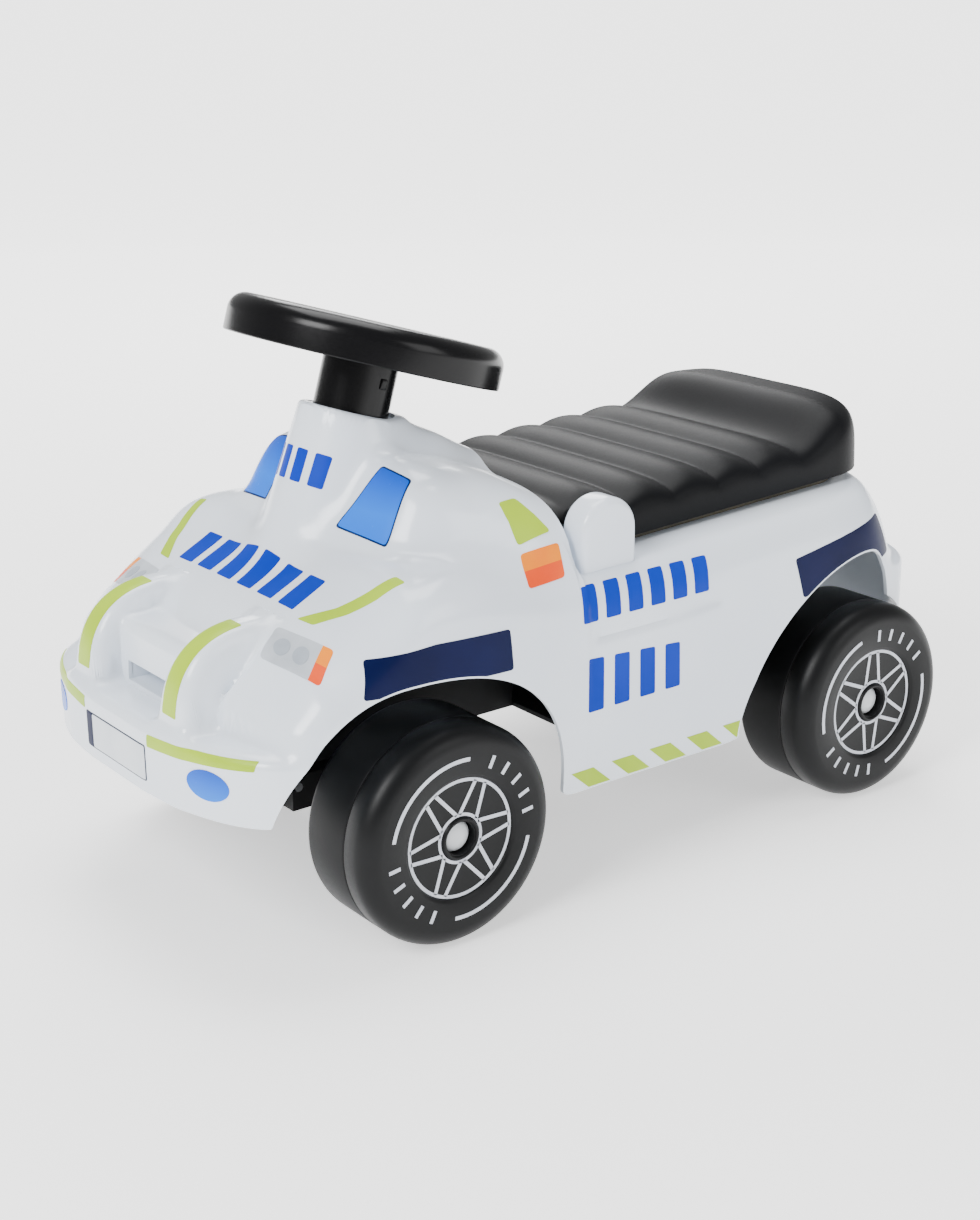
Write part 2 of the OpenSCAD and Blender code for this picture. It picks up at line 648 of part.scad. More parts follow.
module wheel_inner() color("#17181b") difference() {
    rotate_extrude($fn = 96) polygon(concat([[bore_r, 0]],
        round_corner(wheel_r - inner_round, inner_round, inner_round, -90, 0, 15),
        [[wheel_r, seam_u - seam_cut], [wheel_r - seam_cut, seam_u], [bore_r, seam_u]]));
    rotate_extrude($fn = 96) polygon([
        [tube_r, wheel_wall], [wheel_r - inner_round, wheel_wall], [wheel_r - wheel_wall, inner_round],
        [wheel_r - wheel_wall, seam_u + 1], [tube_r, seam_u + 1]
    ]);
}
cap_wall = 1.5;
cap_sink = 4.5;
cap_dome = 2;
module hub_cap() color("#d5d9db") rotate_extrude($fn = 64) {
    low = wheel_w - recess_depth + cap_dome;
    top = wheel_w - cap_sink;
    polygon([
        [cap_d / 2 - cap_wall, low], [cap_d / 2, low], [cap_d / 2, top - cap_dome],
        [cap_d / 3, top - cap_dome / 4], [0, top], [0, top - cap_wall],
        [cap_d / 3, top - cap_wall - 0.6], [cap_d / 2 - cap_wall, top - cap_dome - cap_wall]
    ]);
}
module front_left_wheel_outer() at_wheel(front_y, 1) wheel_outer();
module front_left_wheel_inner() at_wheel(front_y, 1) wheel_inner();
module front_left_hub_cap() at_wheel(front_y, 1) hub_cap();
module front_right_wheel_outer() at_wheel(front_y, -1) wheel_outer();
module front_right_wheel_inner() at_wheel(front_y, -1) wheel_inner();
module front_right_hub_cap() at_wheel(front_y, -1) hub_cap();
module rear_left_wheel_outer() at_wheel(rear_y, 1) wheel_outer();
module rear_left_wheel_inner() at_wheel(rear_y, 1) wheel_inner();
module rear_left_hub_cap() at_wheel(rear_y, 1) hub_cap();
module rear_right_wheel_outer() at_wheel(rear_y, -1) wheel_outer();
module rear_right_wheel_inner() at_wheel(rear_y, -1) wheel_inner();
module rear_right_hub_cap() at_wheel(rear_y, -1) hub_cap();

body_shell();
chassis_pan();
storage_tub();
column_collar();
column_bush();
rear_axle();
rear_axle_block_left();
rear_axle_block_right();
rear_axle_washers();
rear_push_nuts();
seat_hinge_pin_left();
seat_hinge_pin_right();
pan_screws();
block_screws();
seat();
seat_hinge_lug_left();
seat_hinge_lug_right();
steering_wheel();
steering_wheel_screw();
steering_wheel_cap();
steering_column();
front_carrier();
column_pin();
front_axle();
front_axle_washers();
front_push_nuts();
front_left_wheel_outer();
front_left_wheel_inner();
front_left_hub_cap();
front_right_wheel_outer();
front_right_wheel_inner();
front_right_hub_cap();
rear_left_wheel_outer();
rear_left_wheel_inner();
rear_left_hub_cap();
rear_right_wheel_outer();
rear_right_wheel_inner();
rear_right_hub_cap();
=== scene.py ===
import math

import bpy
import numpy as np
from mathutils import Matrix, Vector


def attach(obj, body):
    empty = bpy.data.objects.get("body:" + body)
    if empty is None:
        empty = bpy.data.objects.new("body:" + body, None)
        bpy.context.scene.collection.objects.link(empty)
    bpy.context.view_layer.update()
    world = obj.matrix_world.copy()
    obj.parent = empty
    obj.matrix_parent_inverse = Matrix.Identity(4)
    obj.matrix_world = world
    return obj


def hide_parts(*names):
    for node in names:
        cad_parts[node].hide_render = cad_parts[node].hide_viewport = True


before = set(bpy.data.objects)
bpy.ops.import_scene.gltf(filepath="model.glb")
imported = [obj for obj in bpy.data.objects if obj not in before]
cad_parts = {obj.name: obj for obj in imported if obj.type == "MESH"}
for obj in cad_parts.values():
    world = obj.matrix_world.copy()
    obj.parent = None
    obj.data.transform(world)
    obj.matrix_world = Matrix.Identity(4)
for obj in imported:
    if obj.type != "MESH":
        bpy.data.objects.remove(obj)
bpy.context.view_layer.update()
print("frame loaded:", len(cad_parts), "nodes")

mm = 0.001
frontAxle = -154.5  # places along the car in mm, it faces -Y
rearAxle = 220.5
axleHeight = 73.25
noseEnd = -308.0
tailEnd = 308.0
seatFront = frontAxle + 114
hingeY, hingeZ = frontAxle + 143, 239.0  # the seat lifts about this line


# small helpers for the mesh tools

def objectMode():
    bpy.ops.object.mode_set(mode="OBJECT")


def deselect():
    if bpy.context.object and bpy.context.object.mode != "OBJECT":
        objectMode()
    bpy.ops.object.select_all(action="DESELECT")


def activate(piece):
    deselect()
    piece.select_set(True)
    bpy.context.view_layer.objects.active = piece


def editAll(piece):
    activate(piece)
    bpy.ops.object.mode_set(mode="EDIT")
    bpy.ops.mesh.select_all(action="SELECT")


def outwards(piece):
    editAll(piece)
    bpy.ops.mesh.remove_doubles(threshold=0.00002)
    bpy.ops.mesh.dissolve_degenerate(threshold=0.00001)
    bpy.ops.mesh.normals_make_consistent(inside=False)
    objectMode()


def placeVerts(piece, points):
    piece.data.vertices.foreach_set("co", (np.asarray(points, dtype=float) * mm).ravel())
    piece.data.update()


def modify(piece, kind, **settings):
    activate(piece)
    tool = piece.modifiers.new(kind.lower(), kind)
    for key, value in settings.items():
        setattr(tool, key, value)
    bpy.ops.object.modifier_apply(modifier=tool.name)


def smooth(piece, angle=35):
    activate(piece)
    bpy.ops.object.shade_smooth_by_angle(angle=math.radians(angle))


def gridForm(name, across, along, place):
    deselect()
    bpy.ops.mesh.primitive_grid_add(x_subdivisions=across, y_subdivisions=along, size=2)
    piece = bpy.context.object
    piece.name = name
    flat = np.empty(len(piece.data.vertices) * 3)
    piece.data.vertices.foreach_get("co", flat)
    flat = flat.reshape(-1, 3)
    placeVerts(piece, place((flat[:, 0] + 1) / 2, (flat[:, 1] + 1) / 2))
    return piece


def ringForm(name, points):
    deselect()
    bpy.ops.mesh.primitive_circle_add(vertices=len(points), fill_type="NOTHING")
    piece = bpy.context.object
    piece.name = name
    placeVerts(piece, points)
    return piece


def spinForm(name, profile, steps=128, angle=2 * math.pi):
    piece = ringForm(name, [(r, 0, h) for r, h in profile])
    editAll(piece)
    if angle < 6.28:
        bpy.ops.mesh.edge_face_add()
    bpy.ops.mesh.spin(steps=steps, angle=angle, center=(0, 0, 0), axis=(0, 0, 1))
    objectMode()
    outwards(piece)
    return piece


def prism(name, outline, reach):
    piece = ringForm(name, outline)
    editAll(piece)
    bpy.ops.mesh.edge_face_add()
    bpy.ops.mesh.extrude_region_move(TRANSFORM_OT_translate={"value": Vector(reach) * mm})
    objectMode()
    outwards(piece)
    return piece


def rod(name, radius, low, high, sides):
    deselect()
    bpy.ops.mesh.primitive_cylinder_add(vertices=sides, radius=radius * mm, depth=(high - low) * mm,
                                        location=(0, 0, (low + high) / 2 * mm))
    piece = bpy.context.object
    piece.name = name
    bpy.ops.object.transform_apply(location=True, rotation=True, scale=True)
    return piece


def boxForm(size, middle):
    deselect()
    bpy.ops.mesh.primitive_cube_add(size=1)
    piece = bpy.context.object
    piece.data.transform(Matrix.Translation(Vector(middle) * mm) @ Matrix.Diagonal((*(Vector(size) * mm), 1)))
    return piece


def bevel(piece, width, segments=3):
    modify(piece, "BEVEL", width=width * mm, segments=segments, limit_method="ANGLE",
           angle_limit=math.radians(50))


def turned(degrees):
    return Matrix.Rotation(math.radians(degrees), 4, "Z")


def combine(name, pieces):
    activate(pieces[0])
    for piece in pieces[1:]:
        piece.select_set(True)
    if len(pieces) > 1:
        bpy.ops.object.join()
    pieces[0].name = name
    return pieces[0]


def carve(piece, tool, operation="DIFFERENCE"):
    modify(piece, "BOOLEAN", operation=operation, object=tool, solver="MANIFOLD")
    bpy.data.objects.remove(tool)


def duplicate(piece, name):
    copy = piece.copy()
    copy.data = piece.data.copy()
    copy.name = name
    bpy.context.collection.objects.link(copy)
    return copy


def roundCorners(corners, radii, steps=6):
    points = []
    count = len(corners)
    for i, corner in enumerate(corners):
        here = np.array(corner, float)
        before = np.array(corners[i - 1], float) - here
        after = np.array(corners[(i + 1) % count], float) - here
        radius = radii[i] if isinstance(radii, (list, tuple)) else radii
        if radius == 0:
            points.append(here)
            continue
        near = here + before / np.linalg.norm(before) * min(radius, np.linalg.norm(before) * 0.48)
        far = here + after / np.linalg.norm(after) * min(radius, np.linalg.norm(after) * 0.48)
        for t in np.linspace(0, 1, steps):
            points.append((1 - t) ** 2 * near + 2 * t * (1 - t) * here + t * t * far)
    return points


def wholeTurn(count):
    return np.linspace(0, 2 * math.pi, count, endpoint=False)


def mirrored(points):
    return [(-p[0], p[1], p[2]) for p in points]


# every finish is made from nodes, with its grain in real millimetres

def hexColor(code):
    parts = [int(code[i:i + 2], 16) / 255 for i in (1, 3, 5)]
    linear = [c / 12.92 if c <= 0.04045 else ((c + 0.055) / 1.055) ** 2.4 for c in parts]
    return (*linear, 1.0)


def addNode(tree, kind, settings=None, values=None, links=None):
    node = tree.nodes.new(kind)
    for key, value in (settings or {}).items():
        setattr(node, key, value)
    for key, value in (values or {}).items():
        node.inputs[key].default_value = value
    for key, (source, socket) in (links or {}).items():
        tree.links.new(source.outputs[socket], node.inputs[key])
    return node


def newFinish(name):
    mat = bpy.data.materials.new(name)
    mat.use_nodes = True
    return mat, mat.node_tree, mat.node_tree.nodes["Principled BSDF"]


def wire(tree, shader, tone, gloss):
    tree.links.new(tone.outputs["Color"], shader.inputs["Base Color"])
    tree.links.new(gloss.outputs["Result"], shader.inputs["Roughness"])


def plastic(name, colors, grainMm, spreadMm, roughness, bump, ior=1.49, coat=0.0, specular=0.5):
    # colour drifts slowly between two tones, a finer grain breaks the gloss and lifts the surface
    mat, tree, shader = newFinish(name)
    shader.inputs["IOR"].default_value = ior
    shader.inputs["Coat Weight"].default_value = coat
    shader.inputs["Specular IOR Level"].default_value = specular
    coords = addNode(tree, "ShaderNodeTexCoord")
    drift = addNode(tree, "ShaderNodeTexNoise", values={"Scale": 1000 / spreadMm, "Detail": 3.0},
                    links={"Vector": (coords, "Object")})
    grain = addNode(tree, "ShaderNodeTexNoise", values={"Scale": 1000 / grainMm, "Detail": 2.0},
                    links={"Vector": (coords, "Object")})
    tone = addNode(tree, "ShaderNodeValToRGB", links={"Fac": (drift, "Fac")})
    tone.color_ramp.elements[0].position = 0.35
    tone.color_ramp.elements[1].position = 0.65
    tone.color_ramp.elements[0].color = hexColor(colors[0])
    tone.color_ramp.elements[1].color = hexColor(colors[1])
    gloss = addNode(tree, "ShaderNodeMapRange", links={"Value": (grain, "Fac")},
                    values={"To Min": roughness[0], "To Max": roughness[1]})
    if bump:
        relief = addNode(tree, "ShaderNodeBump", values={"Strength": bump[0], "Distance": bump[1] * mm},
                         links={"Height": (grain, "Fac")})
        tree.links.new(relief.outputs["Normal"], shader.inputs["Normal"])
    wire(tree, shader, tone, gloss)
    return mat


def gradientFilm(name, stops, axis, lowMm, highMm, roughness):
    # printed film whose ink fades from one tone to the next along one direction of the car
    mat, tree, shader = newFinish(name)
    shader.inputs["IOR"].default_value = 1.5
    shader.inputs["Specular IOR Level"].default_value = 0.15
    coords = addNode(tree, "ShaderNodeTexCoord")
    split = addNode(tree, "ShaderNodeSeparateXYZ", links={"Vector": (coords, "Object")})
    place = addNode(tree, "ShaderNodeMapRange", links={"Value": (split, axis)},
                    values={"From Min": lowMm * mm, "From Max": highMm * mm})
    tone = addNode(tree, "ShaderNodeValToRGB", links={"Fac": (place, "Result")})
    while len(tone.color_ramp.elements) < len(stops):
        tone.color_ramp.elements.new(0.5)
    for element, (position, code) in zip(tone.color_ramp.elements, stops):
        element.position = position
        element.color = hexColor(code)
    grain = addNode(tree, "ShaderNodeTexNoise", values={"Scale": 1000 / 3.0},
                    links={"Vector": (coords, "Object")})
    gloss = addNode(tree, "ShaderNodeMapRange", links={"Value": (grain, "Fac")},
                    values={"To Min": roughness, "To Max": roughness + 0.1})
    wire(tree, shader, tone, gloss)
    return mat


# blow-moulded polyethylene, cool white: soft gloss with a faint ripple from the mould
bodyWhite = plastic("whiteMouldedPolyethylene", ("#DAE2ED", "#E2E9F1"), 5, 140,
                    (0.16, 0.26), (0.05, 0.12), 1.51, coat=0.15)
# the same wall seen from inside: unpolished, and its warmer, darker tone is painted shade of the white
# plastic seen in shadow
bodyInsideShade = plastic("shadedPolyethyleneInside", ("#CFC9BA", "#DAD5C8"), 2, 60, (0.5, 0.65), (0.15, 0.15), 1.51)
# satin black polyethylene of the wheels: fine mould grain, drawn coarse enough to show
wheelBlack = plastic("satinBlackPolyethylene", ("#050607", "#090A0C"), 1.2, 50,
                     (0.34, 0.48), (0.25, 0.06), 1.5, specular=0.2)
# moulded polypropylene of the seat: dry leather-like grain of about 1.5 mm
seatBlack = plastic("grainedBlackPolypropylene", ("#07080A", "#0B0C0F"), 1.5, 70,
                    (0.4, 0.54), (0.35, 0.08), 1.49, specular=0.12)
# the steering wheel and column: the same polypropylene, polished by hands
gripBlack = plastic("polishedBlackPolypropylene", ("#060607", "#0A0A0C"), 2.0, 60,
                    (0.18, 0.28), (0.12, 0.05), 1.49, specular=0.2)
# recycled polypropylene of pan, blocks and carrier: matt, with flow clouds
panBlack = plastic("mattBlackPolypropylene", ("#0C0C0D", "#131415"), 1.0, 30, (0.5, 0.66), (0.3, 0.08), 1.49,
                   specular=0.2)
# dark olive for the storage tub and the rim under the seat: painted shade, the tone of the shadowed gap below
# the seat
tubOliveShade = plastic("shadeOlivePolypropylene", ("#3C3829", "#4A4534"), 1.5, 50, (0.45, 0.6), (0.25, 0.08), 1.49)
# acetal bearings: waxy off-white
bearingWhite = plastic("offWhiteAcetal", ("#DADAD4", "#E6E6E1"), 2.0, 30, (0.3, 0.42), (0.1, 0.05), 1.48)
# pressed hub caps, light grey polypropylene
capGrey = plastic("lightGreyPolypropylene", ("#CDD1D4", "#DADDDF"), 1.5, 20, (0.28, 0.4), (0.15, 0.05), 1.49)
# screen-printed ink on the wheels
printGrey = plastic("lightGreyInk", ("#C2C6D0", "#CED2DA"), 1.0, 12, (0.4, 0.55), (0.2, 0.03), 1.5)


# adhesive vinyl films: even colour, smooth, a touch less glossy than the body
def film(name, colors, spreadMm, specular):
    return plastic(name, colors, 3, spreadMm, (0.3, 0.4), None, 1.5, specular=specular)


limeFilm = film("limeVinylFilm", ("#9CBB1E", "#A6C42A"), 60, 0.18)
navyFilm = film("navyVinylFilm", ("#070E33", "#0A123B"), 60, 0.08)
blueFilm = film("blueVinylFilm", ("#0A2D9C", "#0F34A8"), 60, 0.08)
darkFilm = film("darkOutlineFilm", ("#0A2350", "#0E2858"), 60, 0.08)
lampGrey = film("silverPrintedFilm", ("#A7AEB6", "#B9BFC6"), 26, 0.18)
lampRing = film("palePrintedFilm", ("#969EA8", "#A3ABB4"), 26, 0.18)
plateFilm = film("plateVinylFilm", ("#CDD3DA", "#D6DBE1"), 26, 0.18)
amberFilm = film("amberVinylFilm", ("#EE7A00", "#F28A06"), 26, 0.18)
redFilm = film("redOrangeVinylFilm", ("#DF4512", "#E6541E"), 26, 0.18)
windowInk = [(0.0, "#0F6AE0"), (0.4, "#1271E6"), (0.8, "#0A55CC"), (1.0, "#0748B8")]
windowFilm = gradientFilm("blueWindowFilm", windowInk, "Z", 246, 288, 0.2)
fogInk = [(0.0, "#1478E6"), (0.5, "#0A62D6"), (1.0, "#0546B4")]
fogFilm = gradientFilm("blueLampFilm", fogInk, "Z", 117, 138, 0.2)


def zincSteel():
    # bright zinc on drawn steel: soft metal sheen with fine lengthwise scratches of about 0.4 mm
    mat, tree, shader = newFinish("zincPlatedSteel")
    shader.inputs["Metallic"].default_value = 1.0
    coords = addNode(tree, "ShaderNodeTexCoord")
    stretch = addNode(tree, "ShaderNodeMapping", values={"Scale": (0.04, 1, 1)},
                      links={"Vector": (coords, "Object")})
    scratch = addNode(tree, "ShaderNodeTexNoise", values={"Scale": 1000 / 0.4},
                      links={"Vector": (stretch, "Vector")})
    gloss = addNode(tree, "ShaderNodeMapRange", links={"Value": (scratch, "Fac")},
                    values={"To Min": 0.25, "To Max": 0.45})
    tone = addNode(tree, "ShaderNodeValToRGB", links={"Fac": (scratch, "Fac")})
    tone.color_ramp.elements[0].color = hexColor("#A9ADB0")
    tone.color_ramp.elements[1].color = hexColor("#C9CCCE")
    wire(tree, shader, tone, gloss)
    return mat


steel = zincSteel()
print("materials ready")


def finishPiece(piece, body, mats, nodes=()):
    piece.data.materials.clear()
    for mat in mats:
        piece.data.materials.append(mat)
    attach(piece, body)
    if nodes:
        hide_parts(*nodes)


# the body is one moulded skin, found by rays from a line through the car

body = {
    "wall": 3.0,
    "core": 125.0,  # height of the line the rays start from
    "flankRays": 54, "middleRays": 70,
    "hem": 52.0,    # lower end of the skin before the side view is cut
    "deckHeight": 218.0, "deckSlope": 2.6, "deckPlace": frontAxle + 177,
    # y, half width, belt height, crown height, squareness
    "stations": [
        (frontAxle - 118, 108, 120, 152, 4), (frontAxle - 108, 126, 130, 172, 3.4),
        (frontAxle - 96, 137, 140, 189, 3.2), (frontAxle - 82, 144, 150, 203, 3.3),
        (frontAxle - 66, 148, 160, 213, 3.5), (frontAxle - 42, 151, 170, 225, 4.2),
        (frontAxle - 16, 152, 184, 239, 5.2), (frontAxle + 18, 152, 181, 243, 5),
        (frontAxle + 58, 150, 160, 240, 4.8), (frontAxle + 94, 147, 130, 234, 5.6),
        (frontAxle + 138, 146, 115, 230, 7), (33, 146, 112, 229, 7),
        (rearAxle - 98, 146, 112, 235, 7), (rearAxle - 38, 145, 115, 240, 6.4),
        (rearAxle + 4, 143, 118, 243, 5.2), (rearAxle + 28, 138, 118, 241, 4),
        (rearAxle + 45, 130, 116, 232, 3.2), (rearAxle + 59, 119, 114, 211, 3),
        (rearAxle + 70, 102, 112, 182, 3), (rearAxle + 75, 85, 110, 160, 3)],
    "cowl": [
        (frontAxle - 18, 40, 200, 240, 3), (frontAxle - 10, 75, 200, 252, 3.4),
        (frontAxle - 1, 93, 200, 262, 3.8), (frontAxle + 22, 106, 200, 290, 4),
        (frontAxle + 58, 118, 190, 287, 4), (frontAxle + 88, 128, 180, 278, 4),
        (seatFront, 131, 175, 266, 4)],
    "ridge": [
        (-126, 33, 240, 311, 3), (-92.6, 34, 240, 304, 3.2), (-70, 35, 240, 295, 3.6),
        (-48.5, 36, 240, 283, 3.8), (seatFront, 36, 240, 279, 3.8)],
    "frontBumper": (149, 75, noseEnd + 75, 2.5, 150),  # half width, reach, back, squareness, top
    "rearBumper": (134, 60, tailEnd - 60, 3, 170),
    "skirt": {"draft": 5, "low": 58},  # the flanks draw in below the belt
    "groove": {"front": -44, "back": 88, "ends": 14, "deep": 2.0, "height": 177, "climb": 0.03, "wide": 3.5},
    "cone": {"base": (frontAxle + 8, 227.0), "radius": 44.5, "taper": 10, "steep": 0.98, "round": 4},
    "fin": (57, 13, frontAxle - 84, 60, 150, 2.5),  # middle, half thickness, back, reach, foot, squareness
    "finDraft": {"share": 0.1, "top": 206, "height": 60, "round": 11, "behind": 14},
    "bar": {"length": 40, "height": 179.5, "half": 12.5, "reach": 52, "round": 10},
    "nose": {"end": frontAxle - 40, "front": frontAxle - 120, "sweep": 0.29, "middle": 88, "height": 182,
             "crest": frontAxle - 106, "climb": 0.857, "climbLength": 20, "fall": 0.436,
             "inside": 78, "outside": 146},
    "blend": {"cowl": 14, "cone": 16, "ridge": 16, "bumper": 5, "fin": 9, "bar": 5, "nose": 7},
}

column = {
    "foot": np.array([0, frontAxle - 42.5, axleHeight]),
    "lean": math.radians(17),
    "collar": 249.0, "rimHeight": 2.0, "bore": 29.0,
    "show": 35.5, "radius": 25.0,
}
columnAxis = np.array([0, math.sin(column["lean"]), math.cos(column["lean"])])
collarPoint = column["foot"] + columnAxis * column["collar"]
columnFrame = Matrix.Translation(Vector(column["foot"]) * mm) @ Matrix.Rotation(-column["lean"], 4, "X")


def stationAt(table, y):
    rows = np.array(table, float)
    i = int(np.clip(np.searchsorted(rows[:, 0], y) - 1, 0, len(rows) - 2))

    def slope(k):
        a, b = max(k - 1, 0), min(k + 1, len(rows) - 1)
        return (rows[b] - rows[a]) / (rows[b, 0] - rows[a, 0])

    h = rows[i + 1, 0] - rows[i, 0]
    u = (y - rows[i, 0]) / h
    return ((2 * u ** 3 - 3 * u ** 2 + 1) * rows[i] + (u ** 3 - 2 * u ** 2 + u) * h * slope(i)
            + (3 * u ** 2 - 2 * u ** 3) * rows[i + 1] + (u ** 3 - u ** 2) * h * slope(i + 1))


def softMin(a, b, k):
    h = np.maximum(k - np.abs(a - b), 0) / k
    return np.minimum(a, b) - h * h * k / 4


def softMax(a, b, k):
    return -softMin(-a, -b, k)


farAway = 400.0


def sectionValue(table, x, y, z):
    if y < table[0][0] or y > table[-1][0]:
        return np.full_like(x, farAway)
    _, w, b, c, n = stationAt(table, y)
    skirt = body["skirt"]
    side = x / np.where(z < b, w - skirt["draft"] * np.clip((b - z) / (b - skirt["low"]), 0, 1), w)
    rise = np.maximum(z - b, 0) / (c - b)
    return ((side ** n + rise ** n) ** (1 / n) - 1) * (c - b)


def doorGroove(y, z):
    # a soft line across the door, between its two panels
    groove = body["groove"]
    reach = np.clip(min(y - groove["front"], groove["back"] - y) / groove["ends"], 0, 1)
    above = z - groove["height"] - groove["climb"] * y
    return groove["deep"] * reach * np.exp(-(above / groove["wide"]) ** 2)


def coneValue(x, y, z):
    cone = body["cone"]
    base = np.array([0, *cone["base"]])
    axis = collarPoint - base
    t = np.clip(((y - base[1]) * axis[1] + (z - base[2]) * axis[2]) / axis.dot(axis), -0.4, 1.2)
    away = np.sqrt(x ** 2 + (y - base[1] - t * axis[1]) ** 2 + (z - base[2] - t * axis[2]) ** 2)
    wall = (away - cone["radius"] + cone["taper"] * t) * cone["steep"]
    return softMax(wall, lidValue(y, z), cone["round"])


def lidValue(y, z):
    height = (y - collarPoint[1]) * columnAxis[1] + (z - collarPoint[2]) * columnAxis[2]
    return height - column["rimHeight"]


def bumperValue(x, y, z, shape, facing):
    half, reach, back, n, top = shape
    ahead = max((y - back) * facing, 0) / reach
    plan = ((x / half) ** n + ahead ** n) ** (1 / n)
    behind = max((back - y) * facing, 0)
    return softMax((plan - 1) * reach, z - top, 9) + behind * 3


def finValue(x, y, z):
    middle, half, back, reach, foot, n = body["fin"]
    draft = body["finDraft"]
    if y > back + draft["behind"]:
        return np.full_like(x, farAway)
    ahead = max(back - y, 0) / reach
    profile = ((ahead ** n + (np.maximum(z - foot, 0) / reach) ** n) ** (1 / n) - 1) * reach
    spread = draft["share"] * np.clip(draft["top"] - z, 0, draft["height"])
    return softMax(profile, np.abs(x - middle) - half - spread, draft["round"])


def barValue(x, y, z):
    back = body["fin"][2]
    bar = body["bar"]
    along = max(back - bar["length"] - y, y - back)
    block = softMax(np.abs(z - bar["height"]) - bar["half"], np.full_like(x, along), bar["round"])
    return softMax(block, x - bar["reach"], bar["round"])


def noseValue(x, y, z):
    nose = body["nose"]
    if y > nose["end"]:
        return np.full_like(x, farAway)
    front = nose["front"] + nose["sweep"] * (x - nose["middle"]) - y
    climb = nose["climb"] * min(y - nose["crest"], nose["climbLength"])
    lid = z - (nose["height"] + climb - nose["fall"] * (x - nose["middle"]))
    value = softMax(front * 0.95, lid * 0.72, 6)
    return softMax(softMax(value, nose["inside"] - x, 8), x - nose["outside"], 14)


def bodyValue(x, y, z):
    x = np.abs(x)
    blend = body["blend"]
    value = sectionValue(body["stations"], x, y, z) + doorGroove(y, z) * (x > 100)
    if y > seatFront - 5:
        deck = body["deckHeight"] + (y - body["deckPlace"]) * math.tan(math.radians(body["deckSlope"]))
        value = softMax(value, z - deck, 5)
    value = softMin(value, sectionValue(body["cowl"], x, y, z), blend["cowl"])
    if frontAxle - 70 < y < seatFront:
        value = softMin(value, coneValue(x, y, z), blend["cone"])
        ridge = softMax(sectionValue(body["ridge"], x, y, z), lidValue(y, z), 4)
        value = softMin(value, ridge, blend["ridge"])
    value = softMin(value, bumperValue(x, y, z, body["frontBumper"], -1), blend["bumper"])
    value = softMin(value, bumperValue(x, y, z, body["rearBumper"], 1), blend["bumper"])
    if y < body["nose"]["end"]:
        value = softMin(value, noseValue(x, y, z), blend["nose"])
        value = softMin(value, finValue(x, y, z), blend["fin"])
        value = softMin(value, barValue(x, y, z), blend["bar"])
    return value


def bodyRing(y):
    core = body["core"]

    def rayLength(starts, angles):
        reach = np.linspace(260, 4, 90)[:, None] * np.ones(len(angles))
        inside = bodyValue(starts + reach * np.cos(angles), y, core + reach * np.sin(angles)) < 0
        first = np.maximum(inside.argmax(axis=0), 1)
        high = reach[first - 1, np.arange(len(angles))]
        low = reach[first, np.arange(len(angles))]
        for _ in range(16):
            middle = (low + high) / 2
            within = bodyValue(starts + middle * np.cos(angles), y, core + middle * np.sin(angles)) < 0
            low = np.where(within, middle, low)
            high = np.where(within, high, middle)
        return low

    # upright rays over the middle, a fan of rays over each flank
    flank = rayLength(np.zeros(1), np.array([-0.15]))[0]
    centre = max(flank - 40, 0.35 * flank)
    drop = -math.atan2(core - body["hem"], flank - centre)
    fan = np.linspace(drop, math.pi / 2, body["flankRays"] + 1)[:-1]
    starts = np.concatenate([np.full_like(fan, centre), np.linspace(centre, 0, body["middleRays"] + 1)])
    angles = np.concatenate([fan, np.full(body["middleRays"] + 1, math.pi / 2)])
    length = rayLength(starts, angles)
    x, z = starts + length * np.cos(angles), core + length * np.sin(angles)
    half = np.stack([x, np.full_like(angles, y), z], axis=1)
    return np.concatenate([half, half[-2::-1] * (-1, 1, 1)])


def easedRow(start, end, count, slowStart):
    t = np.linspace(0, 1, count)
    t = t ** 1.6 if slowStart else 1 - (1 - t) ** 1.6
    return list(start + (end - start) * t)


ringPlaces = (easedRow(noseEnd + 0.7, -250, 44, True) + list(np.arange(-247.4, seatFront - 6, 2.6))
              + [seatFront - 5.2, seatFront - 4.8, seatFront - 2.5, seatFront - 0.4, seatFront + 0.2]
              + list(np.arange(seatFront + 3, 236, 4.2)) + easedRow(238.5, tailEnd - 0.7, 44, False))
bodyRings = np.array([bodyRing(y) for y in ringPlaces])
print("body skin:", bodyRings.shape[0], "rings of", bodyRings.shape[1], "points")


def skinPlace(u, v):
    i = np.rint(v * (len(ringPlaces) - 1)).astype(int)
    j = np.rint(u * (bodyRings.shape[1] - 1)).astype(int)
    return bodyRings[i, j]


def makeSkin(name):
    piece = gridForm(name, bodyRings.shape[1] - 1, len(ringPlaces) - 1, skinPlace)
    for end in (ringPlaces[0], ringPlaces[-1]):
        activate(piece)
        bpy.ops.object.mode_set(mode="EDIT")
        bpy.ops.mesh.select_mode(type="VERT")
        bpy.ops.mesh.select_all(action="DESELECT")
        objectMode()
        for vert in piece.data.vertices:
            vert.select = bool(abs(vert.co.y - end * mm) < 0.000008)
        bpy.ops.object.mode_set(mode="EDIT")
        bpy.ops.mesh.edge_face_add()
        objectMode()
    editAll(piece)
    bpy.ops.mesh.normals_make_consistent(inside=False)
    objectMode()
    return piece


sideView = {
    "bumperLow": 105, "doorLow": 70,
    "frontArch": (frontAxle - 30, 80, 94, 124, 178, 2, 2.4),
    "rearArch": (rearAxle, 75, 121, 37, 184, 1.7, 3),
    "steps": 30,
}


def archLine(shape, margin):
    middle, low, ahead, behind, top, nAhead, nBehind = shape
    t = np.linspace(0, math.pi / 2, sideView["steps"])
    rise = top - low + margin

    def quarter(reach, power, angles):
        return [(middle + reach * math.cos(a) ** power, low + rise * math.sin(a) ** power) for a in angles]

    front = quarter(-ahead - margin, 2 / nAhead, t)
    return front + quarter(behind + margin, 2 / nBehind, t[::-1])[1:]


